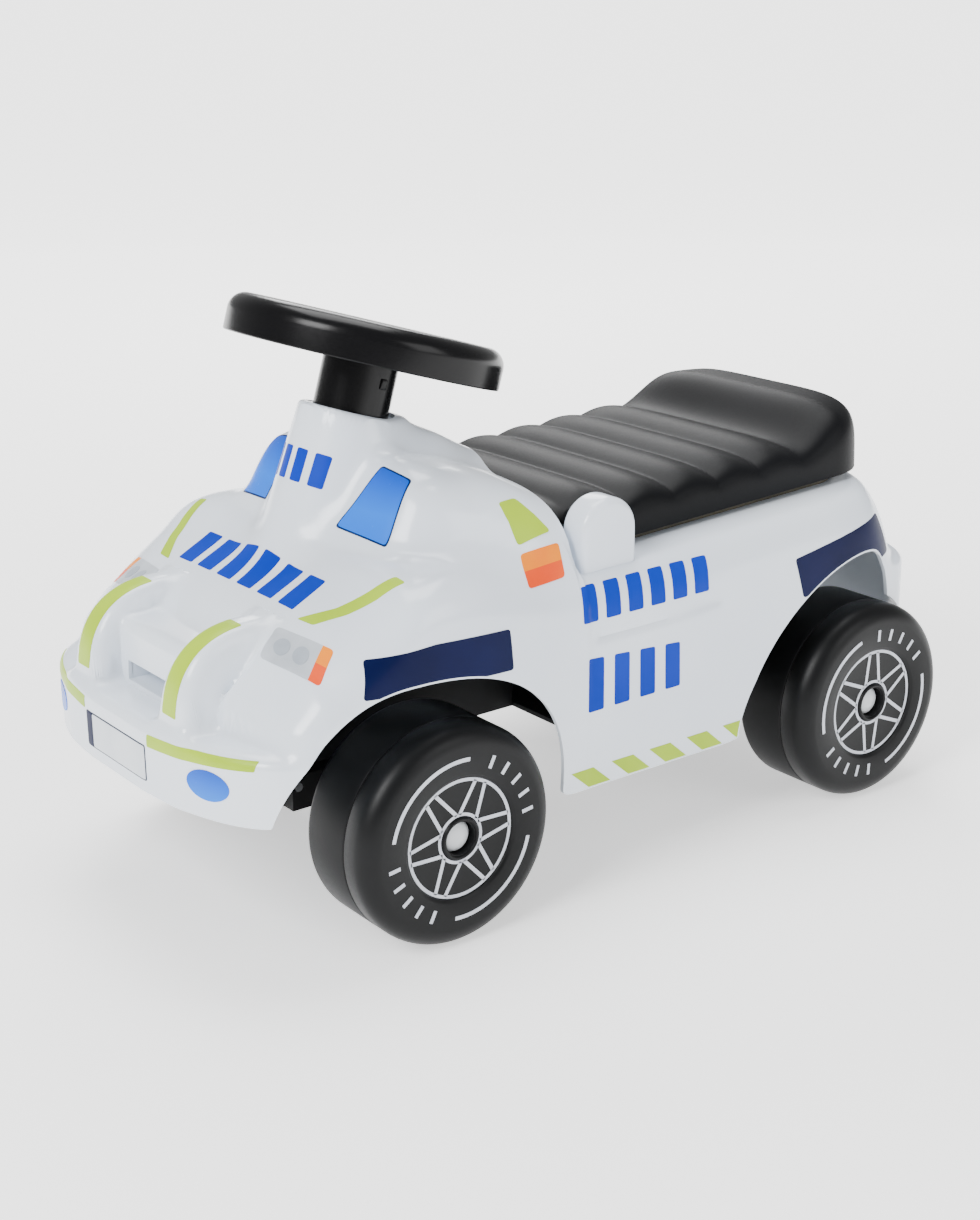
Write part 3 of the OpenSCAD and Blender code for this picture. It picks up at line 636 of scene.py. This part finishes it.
def sideOutline(margin):
    bumper = sideView["bumperLow"] + margin
    door = sideView["doorLow"] + margin
    frontArch, rearArch = sideView["frontArch"], sideView["rearArch"]
    front = [p for p in archLine(frontArch, margin) if p[0] > frontArch[0] or p[1] > bumper]
    rear = [p for p in archLine(rearArch, margin) if p[0] < rearArch[0] or p[1] > bumper]
    corners = [(-330, bumper), (front[0][0] - 1, bumper)] + front
    corners += [(front[-1][0], door), (rear[0][0], door)] + rear
    corners += [(rear[-1][0] + 1, bumper), (330, bumper), (330, 360), (-330, 360)]
    radii = [0, 9] + [0] * len(front) + [13, 20] + [0] * len(rear) + [9, 0, 0, 0]
    radii[2] = radii[1 + len(front)] = 0
    flat = roundCorners([(y, z, 0) for y, z in corners], radii)
    return [(-200, p[0], p[1]) for p in flat]


def deckCutter(front, back, half, depth):
    slope = math.tan(math.radians(body["deckSlope"]))
    corners = ((front, -depth), (back, -depth), (back, depth), (front, depth))
    outline = [(-half, y, body["deckHeight"] + (y - body["deckPlace"]) * slope + h) for y, h in corners]
    return prism("deckCutter", outline, (2 * half, 0, 0))


shell = makeSkin("bodyShell")
skinSource = duplicate(shell, "skinSource")
modify(shell, "SOLIDIFY", thickness=body["wall"] * mm, offset=-1, material_offset=1, use_even_offset=True)
carve(shell, prism("sideCutter", sideOutline(0), (400, 0, 0)), "INTERSECT")
openings = {
    "deck": (seatFront + 44, rearAxle - 34, 82, 30),  # front, back, half width, depth
    "bore": (200, 300), "wheelRadius": 78.25, "wheelSpan": (87.5, 200),
}
carve(shell, deckCutter(*openings["deck"]))
boreCutter = rod("boreCutter", column["bore"], *openings["bore"], 64)
boreCutter.data.transform(columnFrame)
carve(shell, boreCutter)
for side in (-1, 1):
    clearance = rod("wheelCutter", openings["wheelRadius"], *openings["wheelSpan"], 96)
    clearance.data.transform(Matrix.Translation((0, rearAxle * mm, axleHeight * mm))
                             @ Matrix.Rotation(side * math.pi / 2, 4, "Y"))
    carve(shell, clearance)

# pocket below the guard bar, with its own thin walls
pocket = {"half": 31.0, "low": 153.5, "top": 166.5, "back": -258.0, "front": -277.0, "wall": 2.5,
          "mouth": -288.0, "clear": -330.0}


def pocketBox(name, grow, front):
    half, back = pocket["half"] + grow, pocket["back"] + grow
    low, top = pocket["low"] - grow, pocket["top"] + grow
    outline = [(-half, y, z) for y, z in ((front, low), (back, low), (back, top), (front, top))]
    return prism(name, outline, (2 * half, 0, 0))


carve(shell, pocketBox("pocketCutter", 0, pocket["mouth"]))
liner = pocketBox("pocketLiner", pocket["wall"], pocket["front"])
carve(liner, pocketBox("pocketCutter", 0, pocket["clear"]))
print("body shell cut:", len(shell.data.polygons), "faces")

ears = {"inside": 107.5, "thick": 24.0, "radius": 23.0, "drop": 40.0, "round": 5.0}


def makeEar():
    deselect()
    middle = Vector((ears["inside"] + ears["thick"] / 2, hingeY, hingeZ)) * mm
    bpy.ops.mesh.primitive_cylinder_add(vertices=72, radius=ears["radius"] * mm, depth=ears["thick"] * mm,
                                        location=middle, rotation=(0, math.pi / 2, 0))
    piece = bpy.context.object
    bpy.ops.object.transform_apply(location=True, rotation=True, scale=True)
    for vert in piece.data.vertices:
        if vert.co.z < (hingeZ - 0.1) * mm:
            vert.co.z -= ears["drop"] * mm
    bevel(piece, ears["round"], 5)
    return piece


earLeft = makeEar()
earRight = duplicate(earLeft, "earRight")
earRight.data.transform(Matrix.Scale(-1, 4, (1, 0, 0)))
outwards(earRight)
shell = combine("bodyShell", [shell, earLeft, earRight, liner])
smooth(shell, 32)
# the inner faces take the inside finish, whose warmer, darker tone is painted shade
finishPiece(shell, "body", [bodyWhite, bodyInsideShade], ["body_shell"])


# films are cut from a thin copy of the body's skin, so that each lies on the body

filmLayers = {"low": 0.25, "high": 0.45, "sunk": 0.4, "margin": 1.4}


def makeFilmSource(lift):
    layer = duplicate(skinSource, "filmSource")
    sunk = filmLayers["sunk"]
    modify(layer, "SOLIDIFY", thickness=(lift + sunk) * mm, offset=(lift - sunk) / (lift + sunk),
           use_even_offset=True)
    carve(layer, prism("sideCutter", sideOutline(filmLayers["margin"]), (400, 0, 0)), "INTERSECT")
    return layer


filmLow = makeFilmSource(filmLayers["low"])
filmHigh = makeFilmSource(filmLayers["high"])


def stickerTools(outlines, both=True):
    tools = []
    for corners, radius, reach in outlines:
        reach = np.array(reach, float)
        points = [np.array(p) - reach / 2 for p in roundCorners(corners, radius)]
        tools.append(prism("stickerTool", points, reach))
        if both:
            tools.append(prism("stickerTool", mirrored(points), (-reach[0], reach[1], reach[2])))
    return tools


def sticker(name, source, outlines, mat, both=True):
    piece = duplicate(source, name)
    carve(piece, combine("stickerTools", stickerTools(outlines, both)), "INTERSECT")
    outwards(piece)
    smooth(piece, 40)
    finishPiece(piece, "body", [mat])
    print(name, len(piece.data.polygons), "faces")


across = (60, 0, 0)
hoodUp = (0, -14, 40)
stripes = {
    "hood": ([(81, -220, 211), (96, -218.5, 211.5), (110, -203, 219), (119, -187, 227), (124.5, -169.5, 236),
              (115, -169.5, 236), (109, -186, 228), (99, -203, 219)], 2, hoodUp),
    "fin": ([(49.5, -247, 207), (64.5, -247, 207), (65, -299, 160), (49, -299, 160)], 1.5, (0, -32, 32)),
    "bumper": ([(42, -285, 137), (90, -285, 139.5), (127, -285, 141.5), (127, -285, 147.5), (90, -285, 147),
                (42, -285, 145)], 1, (0, 60, 0)),
    "cheek": ([(105.6, -83.9, 266), (102.9, -68.9, 266), (120.3, -53.4, 245.4), (121.4, -80.3, 240.7)], 2.5,
              (30, 0, 26)),
}
doorPlane = 143.0
hazard = {"starts": (-54, -19, 14.5, 48.5, 82.5), "wide": 19.0, "slope": 21 / 18, "top": 85.0, "low": 60.0}
hazardBlocks = []
for begin in hazard["starts"]:
    end, top, low = begin + hazard["wide"], hazard["top"], hazard["low"]
    run = hazard["slope"] * (top - low)
    corners = ((begin, top), (end, top), (end + run, low), (begin + run, low))
    hazardBlocks.append(([(doorPlane, y, z) for y, z in corners], 0, across))
sticker("limeStripes", filmLow, list(stripes.values()) + hazardBlocks, limeFilm)

wingBand = ((-212, 199.5), (-167, 202.5), (-109.5, 199.5), (-107, 172.3), (-217.5, 177))
rearBand = ((147, 193.8), (193.6, 200.2), (243, 208), (257, 177), (156, 164))
navyBands = [([(150, y, z) for y, z in wingBand], 2.5, across),
             ([(135, y, z) for y, z in rearBand], 2.5, (80, 0, 0))]
sticker("navyBands", filmLow, navyBands, navyFilm)


def barRow(corners, count, fill, radius, reach):
    bars = []
    a, b, c, d = (np.array(p, float) for p in corners)
    for i in range(count):
        s, e = i / count, (i + fill) / count
        bars.append(([a + (b - a) * s, a + (b - a) * e, d + (c - d) * e, d + (c - d) * s], radius, reach))
    return bars


barRound = 1.5
doorRows = {"upper": ([(-45, 211), (72, 211.5), (71, 188), (-46, 187.5)], 6, 0.64),
            "lower": ([(-42, 163), (47, 157), (48, 126.5), (-42, 126)], 4, 0.58)}
blueBars = []
for corners, count, fill in doorRows.values():
    blueBars += barRow([(doorPlane, y, z) for y, z in corners], count, fill, barRound, across)
sticker("doorBars", filmLow, blueBars, blueFilm)
hoodBars = barRow([(-72, -192, 227), (79, -192, 227), (79, -217, 214), (-72, -217, 214)], 6, 0.68, barRound,
                  hoodUp)
hoodBars += barRow([(-25, -159, 293), (33, -159, 293), (33, -170, 274), (-25, -170, 274)], 4, 0.62, barRound,
                   (0, -46, 18))
sticker("hoodBars", filmLow, hoodBars, blueFilm, both=False)

cheekOut = (33, 0, 20)
lampNormal = (10, -27, 40)
lamp = np.array([(74.3, -230.2, 206.8), (123.4, -220.8, 202.5), (131.4, -237, 185.8), (83.2, -249, 193.5)])
lampGlass = {"end": 0.82, "rings": (0.26, 0.58), "ringRadius": 6.2}  # shares of the lamp's length, and mm


def lampPart(u0, u1, v0, v1):
    def corner(u, v):
        top = lamp[0] + (lamp[1] - lamp[0]) * u
        low = lamp[3] + (lamp[2] - lamp[3]) * u
        return top + (low - top) * v
    return [corner(u0, v0), corner(u1, v0), corner(u1, v1), corner(u0, v1)]


def lampCircle(u, radius):
    middle = np.mean(lampPart(u, u, 0.5, 0.5), axis=0)
    sideways = (lamp[1] - lamp[0]) / np.linalg.norm(lamp[1] - lamp[0])
    down = (lamp[3] - lamp[0]) / np.linalg.norm(lamp[3] - lamp[0])
    return [middle + radius * (sideways * math.cos(a) + down * math.sin(a)) for a in wholeTurn(28)]


glassEnd = lampGlass["end"]
rings = [(lampCircle(place, lampGlass["ringRadius"]), 0, lampNormal) for place in lampGlass["rings"]]
sticker("headlights", filmLow, [(lampPart(0, glassEnd, 0, 1), [4, 0, 0, 4], lampNormal)], lampGrey)
sticker("headlightRings", filmHigh, rings, lampRing)
indicator = np.array([(124.4, -81, 236), (124.1, -50, 238), (136.7, -54.5, 219), (137.5, -86, 216.5)])
middleA, middleB = (indicator[0] + indicator[3]) / 2, (indicator[1] + indicator[2]) / 2
sticker("amberLamps", filmLow, [
    (lampPart(glassEnd, 1, 0, 0.5), [0, 3, 0, 0], lampNormal),
    ([indicator[0], indicator[1], middleB, middleA], [3, 3, 0, 0], cheekOut)], amberFilm)
sticker("redLamps", filmLow, [
    (lampPart(glassEnd, 1, 0.5, 1), [0, 0, 3, 0], lampNormal),
    ([middleA, middleB, indicator[2], indicator[3]], [0, 0, 3, 3], cheekOut)], redFilm)

windowNormal = (14, -34, 26)
windowCorners = np.array([(42.1, -165.2, 250.9), (86.5, -157.1, 245.8), (78.9, -130.6, 283),
                          (51.7, -134.2, 287.7)])
windowGlass = windowCorners.mean(axis=0) + (windowCorners - windowCorners.mean(axis=0)) * 0.95
sticker("windowEdges", filmLow, [(windowCorners, 2.5, windowNormal)], darkFilm)
sticker("windows", filmHigh, [(windowGlass, 2.5, windowNormal)], windowFilm)

plate = {"half": 39.5, "low": 113.0, "top": 137.0, "place": -300.0, "band": 9.0, "line": 0.8, "gap": 0.4}
plateReach = (0, 30, 0)


def plateBox(x0, x1, inset):
    low, top = plate["low"] + inset, plate["top"] - inset
    return [(x, plate["place"], z) for x, z in ((x0, low), (x1, low), (x1, top), (x0, top))]


edge, line, bandEnd = plate["half"], plate["line"], plate["band"] - plate["half"]
plateParts = (("plateEdge", filmLow, plateBox(-edge, edge, 0), 2, navyFilm),
              ("plate", filmHigh, plateBox(bandEnd, edge - line, line), 1.5, plateFilm),
              ("plateBand", filmHigh, plateBox(line - edge, bandEnd - plate["gap"], line), 1, navyFilm))
for name, layer, corners, radius, mat in plateParts:
    sticker(name, layer, [(corners, radius, plateReach)], mat, both=False)
fog = {"middle": (95.5, -293, 127), "wide": 15.5, "sweep": 6, "high": 9.7}
fogReach = np.array([(fog["wide"], fog["sweep"], 0), (0, 0, fog["high"])])
fogOval = [fog["middle"] + np.array([math.cos(a), math.sin(a)]) @ fogReach for a in wholeTurn(40)]
sticker("fogLamps", filmHigh, [(fogOval, 0, (16, -44, 0))], fogFilm)
for leftover in (skinSource, filmLow, filmHigh):
    bpy.data.objects.remove(leftover)


# the seat is a moulded cover with rolls across it

seat = {
    "wall": 2.6, "half": 106.0, "waist": 92.9, "lift": 5.4, "round": 21.0, "rollHeight": 5.0,
    "top": 33.0, "backTop": 55.0, "foot": 170.0, "backLength": 50.0, "tailRound": 16.0, "rolls": 5,
    "along": 190, "across": 84,
}
hingeAlong = hingeY - body["deckPlace"]
hingeUp = hingeZ - body["deckHeight"] - hingeAlong * math.tan(math.radians(body["deckSlope"]))
seatEnd = rearAxle + 53 - body["deckPlace"]


def ease(u):
    c = np.clip(u, 0, 1)
    return c * c * (3 - 2 * c)


def seatPlace(u, v):
    first = hingeAlong - seat["round"] + 0.6
    along = first + (seatEnd - 0.2 - first) * v
    pitch = (seat["foot"] - hingeAlong) / seat["rolls"]
    nose = np.sqrt(np.maximum(seat["round"] ** 2 - np.minimum(along - hingeAlong, 0) ** 2, 0))
    base = np.maximum(seat["lift"], hingeUp - nose)
    onRolls = (along >= hingeAlong) & (along <= seat["foot"])
    roll = np.where(onRolls, seat["rollHeight"] * np.abs(np.sin(math.pi * (along - hingeAlong) / pitch)), 0)
    tail = np.maximum(1 - (1 - np.minimum((seatEnd - along) / seat["tailRound"], 1)) ** 2.6, 0) ** (1 / 2.6)
    front = hingeUp + (seat["top"] - hingeUp) * nose / seat["round"]
    back = (seat["backTop"] - seat["top"]) * ease((along - seat["foot"]) / seat["backLength"])
    crown = seat["lift"] + 8 + (front + roll + back - seat["lift"] - 8) * tail
    half = seat["waist"] + (seat["half"] - seat["waist"]) * ease((along - hingeAlong - 25) / 14)
    half = half - 30 * np.maximum(1 - (seatEnd - along) / 46, 0) ** 2.5
    t = np.pi * u
    x = half * np.sign(np.cos(t)) * np.abs(np.cos(t)) ** 0.4
    h = base + (crown - base) * np.abs(np.sin(t)) ** 0.4
    slope = math.radians(body["deckSlope"])
    y = body["deckPlace"] + along * math.cos(slope) - h * math.sin(slope)
    z = body["deckHeight"] + along * math.sin(slope) + h * math.cos(slope)
    return np.stack([x, y, z], axis=1)


cover = gridForm("seatCover", seat["across"], seat["along"], seatPlace)
editAll(cover)
bpy.ops.mesh.normals_make_consistent(inside=False)
objectMode()
if cover.data.polygons[len(cover.data.polygons) // 2].normal.z < 0:
    cover.data.flip_normals()
modify(cover, "SOLIDIFY", thickness=seat["wall"] * mm, offset=-1, use_even_offset=False)
smooth(cover, 50)
finishPiece(cover, "seat", [seatBlack], ["seat"])

# dark olive rim below the seat's edge, set in the gap above the deck as painted shade for that shadowed gap
seatRim = {"half": 100.0, "thick": 3.0, "low": 0.9, "top": 6.2, "front": 30.0, "back": 258.0,
           "taper": 34.0, "narrow": 26.0}


def rimOutline(inset):
    half, front, back = seatRim["half"] - inset, seatRim["front"] + inset, seatRim["back"] - inset
    turn, narrow = back - seatRim["taper"], half - seatRim["narrow"]
    corners = [(-half, front), (half, front), (half, turn), (narrow, back), (-narrow, back), (-half, turn)]
    slope = math.radians(body["deckSlope"])
    lift = seatRim["low"] if inset == 0 else seatRim["low"] - 2
    points = roundCorners([(x, y, 0) for x, y in corners], 8)
    level = body["deckHeight"] + lift
    return [(x, y - lift * math.sin(slope), level + (y - body["deckPlace"]) * math.tan(slope))
            for x, y, _ in points]


underRim = prism("seatRim", rimOutline(0), (0, 0, seatRim["top"] - seatRim["low"]))
carve(underRim, prism("rimCutter", rimOutline(seatRim["thick"]), (0, 0, 12)))
smooth(underRim, 35)
finishPiece(underRim, "seat", [tubOliveShade])
print("seat cover:", len(cover.data.polygons), "faces")


# steering wheel with three spokes on a hollow rim

wheelRim = {"radius": 91.5, "height": 26.0, "width": 24.0, "round": 12.0, "wall": 3.0, "spokeWidth": 34.0,
            "spokeThick": 5.0, "hub": 27.0, "bore": 10.2, "badge": 17.0}
rimBase = column["collar"] + column["show"]
spokeTop = wheelRim["height"] - 9
rimFrame = columnFrame @ Matrix.Translation((0, 0, rimBase * mm))


def arc(cx, cz, radius, start, end, steps):
    angles = np.radians(np.linspace(start, end, steps))
    return [(cx + radius * math.cos(a), cz + radius * math.sin(a)) for a in angles]


def rimProfile():
    r, h, w, e, t = (wheelRim[k] for k in ("radius", "height", "width", "round", "wall"))
    outer = [(r - 0.6, 0), (r, 0.8)] + arc(r - e, h - e, e, 0, 90, 14)
    inner = arc(r - w + 7, h - 7, 7, 90, 180, 10)
    low = [(r - w, spokeTop - wheelRim["spokeThick"]), (r - w + t, spokeTop - wheelRim["spokeThick"])]
    under = [(r - w + t, h - 7)] + arc(r - w + 7, h - 7, 4, 180, 90, 6) + arc(r - e, h - e, e - t, 90, 0, 10)
    return outer + inner + low + under + [(r - t, 0)]


def makeSpoke(turn):
    start, end = wheelRim["hub"] - 8, wheelRim["radius"] - wheelRim["width"] + 1.6
    thick = wheelRim["spokeThick"]
    middle = ((start + end) / 2, 0, spokeTop - thick / 2)
    piece = boxForm((end - start, wheelRim["spokeWidth"], thick), middle)
    editAll(piece)
    bpy.ops.mesh.subdivide(number_cuts=6)
    objectMode()
    for vert in piece.data.vertices:  # spokes flare into the hub and the rim
        t = (vert.co.x / mm - start) / (end - start)
        vert.co.y *= 1 + 0.22 * (2 * t - 1) ** 2
    bevel(piece, 1.6)
    piece.data.transform(turned(turn))
    return piece


def hubProfile():
    bore, hub, sink = wheelRim["bore"], wheelRim["hub"], wheelRim["badge"] + 0.2
    foot = [(bore, 0), (hub - 1, 0), (hub, 1)] + arc(hub - 3, spokeTop - 2, 3, 0, 90, 6)
    return foot + [(sink, spokeTop + 1), (sink, spokeTop - 1.5), (bore, spokeTop - 1.5)]


def badgeProfile():
    r = wheelRim["badge"]
    foot = [(0, spokeTop - 0.3), (r, spokeTop - 1.4), (r, spokeTop + 1.6)]
    return foot + arc(r - 2, spokeTop + 1.6, 2, 0, 80, 5) + [(r - 5, spokeTop + 3.2), (0, spokeTop + 3.0)]


rim = spinForm("steeringRim", rimProfile(), 144)
hub = spinForm("steeringHub", hubProfile(), 96)
steering = combine("steeringWheel", [rim, hub] + [makeSpoke(turn) for turn in (90, 210, 330)])
steering.data.transform(rimFrame)
smooth(steering, 35)
finishPiece(steering, "steering", [gripBlack], ["steering_wheel"])

badge = spinForm("steeringBadge", badgeProfile(), 96)
badge.data.transform(rimFrame)
smooth(badge, 35)
finishPiece(badge, "steering", [gripBlack], ["steering_wheel_cap"])

columnTab = {"depth": 4.0, "proud": 1.2, "width": 5.0, "height": 7.0, "below": 12.0, "turns": (8, 188)}


def makeTab(turn):
    reach = column["radius"] + columnTab["proud"] - columnTab["depth"] / 2
    size = (columnTab["depth"], columnTab["width"], columnTab["height"])
    piece = boxForm(size, (reach, 0, -columnTab["below"]))
    bevel(piece, 0.8)
    piece.data.transform(turned(turn))
    return piece


# snap tabs that hold the wheel on the column
tabs = combine("columnTabs", [makeTab(turn) for turn in columnTab["turns"]])
tabs.data.transform(rimFrame)
smooth(tabs, 35)
finishPiece(tabs, "steering", [gripBlack])
print("steering wheel:", len(steering.data.polygons), "faces")


# each wheel has two halves, a cap and a printed rim

wheel = {"radius": 73.25, "width": 67.0, "wall": 3.0, "shoulder": 13.0, "seam": 24.0, "bore": 5.05,
         "cap": 11.0, "face": 42.0, "sink": 3.0, "lip": 0.35, "inside": 92.5,
         "turns": {"front": 35, "rear": 60}}
seamAt = wheel["width"] - wheel["seam"]
tube = wheel["cap"] + 3.5
discLevel, faceLevel = wheel["width"] - wheel["sink"], wheel["width"] - wheel["lip"]


def seamEdge(side):
    r = wheel["radius"]
    bead = [(r, seamAt + side * 1.2), (r - 0.4, seamAt + side * 0.5), (r - 1.2, seamAt)]
    return bead + [(r - wheel["wall"], seamAt)]


def outerProfile():
    r, w, s, t = wheel["radius"], wheel["width"], wheel["shoulder"], wheel["wall"]
    cup, rim = wheel["cap"] + 0.1, wheel["face"]
    line = [(tube, seamAt), (wheel["bore"], seamAt), (wheel["bore"], w - 12), (cup, w - 12), (cup, w - 2.2)]
    line += arc(tube - 1.7, w - 2.2, 1.2, 180, 0, 8)
    line += [(tube, discLevel), (rim - 3, discLevel)] + arc(rim - 3, discLevel + 1.5, 1.5, -90, -10, 5)
    line += [(rim, faceLevel - 0.5), (rim + 0.8, faceLevel)]
    line += [(r - s - 3, faceLevel)] + arc(r - s, w - s - 0.1, s, 88, 0, 18)
    line += seamEdge(1) + [(r - t, w - s)] + arc(r - s, w - s - 0.1, s - t, 0, 88, 10)
    return line + [(rim + 1, faceLevel - t), (rim - 2, discLevel - t), (tube, discLevel - t)]


def innerProfile():
    r, t, e = wheel["radius"], wheel["wall"], 6.0
    line = [(wheel["bore"], 0)] + arc(r - e, e, e, -90, 0, 10)
    line += seamEdge(-1) + arc(r - e, e, e - t, 0, -90, 8)
    return line + [(tube, t), (tube, seamAt), (wheel["bore"], seamAt)]


wheelPrint = {"circle": (37.6, 40.0), "ring": (tube + 0.3, tube + 2.4), "arcs": (51.6, 54.2), "arcSpan": 84,
              "tick": (47.5, 56.0), "tickStep": 14, "spokes": (tube + 1.6, 38.4), "spokeTurns": (26, 6),
              "line": 2.5, "lift": 0.25, "sunk": 0.2}


def flatStroke(start, end, level):
    start, end = np.array(start), np.array(end)
    along = (end - start) / np.linalg.norm(end - start)
    side = np.array([-along[1], along[0]]) * wheelPrint["line"] / 2
    low = level - wheelPrint["sunk"]
    corners = [(*p, low) for p in (start + side, end + side, end - side, start - side)]
    return prism("stroke", corners, (0, 0, wheelPrint["lift"] + wheelPrint["sunk"]))


def spot(radius, angle):
    return (radius * math.cos(math.radians(angle)), radius * math.sin(math.radians(angle)))


def flatRing(radii, level, steps, span=360):
    (a, b), low, top = radii, level - wheelPrint["sunk"], level + wheelPrint["lift"]
    return spinForm("printRing", [(a, low), (b, low), (b, top), (a, top)], steps, math.radians(span))


def makePrint():
    marks = [flatRing(wheelPrint[key], discLevel, 128) for key in ("circle", "ring")]
    for turn in range(0, 360, 60):
        for side in (-1, 1):
            ends = [spot(r, turn + side * a) for r, a in zip(wheelPrint["spokes"], wheelPrint["spokeTurns"])]
            marks.append(flatStroke(*ends, discLevel))
    for turn in (0, 180):
        piece = flatRing(wheelPrint["arcs"], faceLevel, 48, wheelPrint["arcSpan"])
        piece.data.transform(turned(turn + wheelPrint["arcSpan"] / 2))
        marks.append(piece)
        for step in range(-2, 3):
            angle = turn + 90 + step * wheelPrint["tickStep"]
            marks.append(flatStroke(*(spot(r, angle) for r in wheelPrint["tick"]), faceLevel))
    return combine("wheelPrint", marks)


capProfile = [(0, 62.0), (4, 61.8), (8, 60.9), (10, 59.4), (10.95, 57.6), (10.95, 57.0), (9.5, 57.0),
              (9.5, 57.5), (7.5, 59.3), (3.8, 60.3), (0, 60.5)]
outerHalf = spinForm("outerHalf", outerProfile(), 128)
innerHalf = spinForm("innerHalf", innerProfile(), 128)
hubCap = spinForm("hubCap", capProfile, 64)
printed = makePrint()
for part in (outerHalf, innerHalf, hubCap):
    smooth(part, 35)
for end, y in (("front", frontAxle), ("rear", rearAxle)):
    for hand, side in (("left", 1), ("right", -1)):
        label = end + "_" + hand
        place = (side * wheel["inside"] * mm, y * mm, axleHeight * mm)
        outward = Matrix.Rotation(side * math.pi / 2, 4, "Y")
        hubFrame = Matrix.Translation(place) @ outward @ turned(wheel["turns"][end])
        for source, name, slot, mat, nodes in (
                (outerHalf, "_outer", "wheel_black", wheelBlack, [label + "_wheel_outer"]),
                (innerHalf, "_inner", "wheel_black", wheelBlack, [label + "_wheel_inner"]),
                (hubCap, "_cap", "cap_grey", capGrey, [label + "_hub_cap"]),
                (printed, "_print", "cap_grey", printGrey, [])):
            piece = duplicate(source, label + name)
            piece.data.transform(hubFrame)
            finishPiece(piece, label + "_wheel", [mat], nodes)
for leftover in (outerHalf, innerHalf, hubCap, printed):
    bpy.data.objects.remove(leftover)
print("wheels placed")


# these nodes keep their shape and get a finish

nodeFinish = (
    (panBlack, ("chassis_pan", "rear_axle_block_left", "rear_axle_block_right", "front_carrier")),
    # the storage tub takes the dark olive painted shade
    (tubOliveShade, ("storage_tub",)), (bodyWhite, ("column_collar",)), (bearingWhite, ("column_bush",)),
    (seatBlack, ("seat_hinge_lug_left", "seat_hinge_lug_right")), (gripBlack, ("steering_column",)),
    (steel, ("rear_axle", "rear_axle_washers", "rear_push_nuts", "front_axle", "front_axle_washers",
             "front_push_nuts", "column_pin", "steering_wheel_screw", "pan_screws", "block_screws",
             "seat_hinge_pin_left", "seat_hinge_pin_right")),
)
for mat, names in nodeFinish:
    for name in names:
        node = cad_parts[name]
        node.data.materials.clear()
        node.data.materials.append(mat)
        smooth(node, 30)


# floor, light and camera

# place and size in m, power in W
lights = {"key": ((0.5, -2.3, 2.0), 1.2, 90), "fill": ((2.4, 0.9, 1.3), 1.4, 24),
          "top": ((-0.5, 0.3, 2.4), 1.6, 62), "rim": ((-1.9, 1.3, 1.5), 1.0, 26)}


def studio():
    deselect()
    bpy.ops.mesh.primitive_plane_add(size=80, location=(0, 0, 0))
    floor = bpy.context.object
    floor.name = "studioFloor"
    paper, tree, shader = newFinish("whitePaperSweep")
    shader.inputs["Base Color"].default_value = hexColor("#F4F4F4")
    shader.inputs["Roughness"].default_value = 0.9
    # the paper glows a little further out, so that the background stays pale
    shader.inputs["Emission Color"].default_value = (1, 1, 1, 1)
    coords = addNode(tree, "ShaderNodeTexCoord")
    away = addNode(tree, "ShaderNodeVectorMath", {"operation": "LENGTH"},
                   links={"Vector": (coords, "Object")})
    glow = addNode(tree, "ShaderNodeMapRange", links={"Value": (away, "Value")},
                   values={"From Min": 0.4, "From Max": 3.0, "To Min": 0.9, "To Max": 2.8})
    tree.links.new(glow.outputs["Result"], shader.inputs["Emission Strength"])
    floor.data.materials.append(paper)

    world = bpy.data.worlds.new("studioWorld")
    bpy.context.scene.world = world
    world.use_nodes = True
    sky = world.node_tree.nodes["Background"]
    sky.inputs["Color"].default_value = (1, 1, 1, 1)
    sky.inputs["Strength"].default_value = 0.45

    for name, (place, size, power) in lights.items():
        light = bpy.data.lights.new(name + "Light", "AREA")
        light.size = size
        light.energy = power
        holder = bpy.data.objects.new(name + "Light", light)
        holder.location = place
        holder.rotation_euler = (Vector((0, 0, 0.15)) - Vector(place)).to_track_quat("-Z", "Y").to_euler()
        bpy.context.collection.objects.link(holder)


def photoCamera():
    lens = bpy.data.cameras.new("photoCamera")
    lens.lens = 57.24
    lens.sensor_width = 36
    holder = bpy.data.objects.new("photoCamera", lens)
    right = Vector((0.60770064, 0.79412573, -0.00801548))
    up = Vector((-0.24683, 0.19846, 0.94852))
    back = Vector((0.75483354, -0.57443669, 0.31662095))
    turn = Matrix((right, up, back)).transposed().to_4x4()
    holder.matrix_world = Matrix.Translation((1.04310, -0.80434, 0.58954)) @ turn
    bpy.context.collection.objects.link(holder)
    bpy.context.scene.camera = holder


studio()
photoCamera()
print("stage ready")
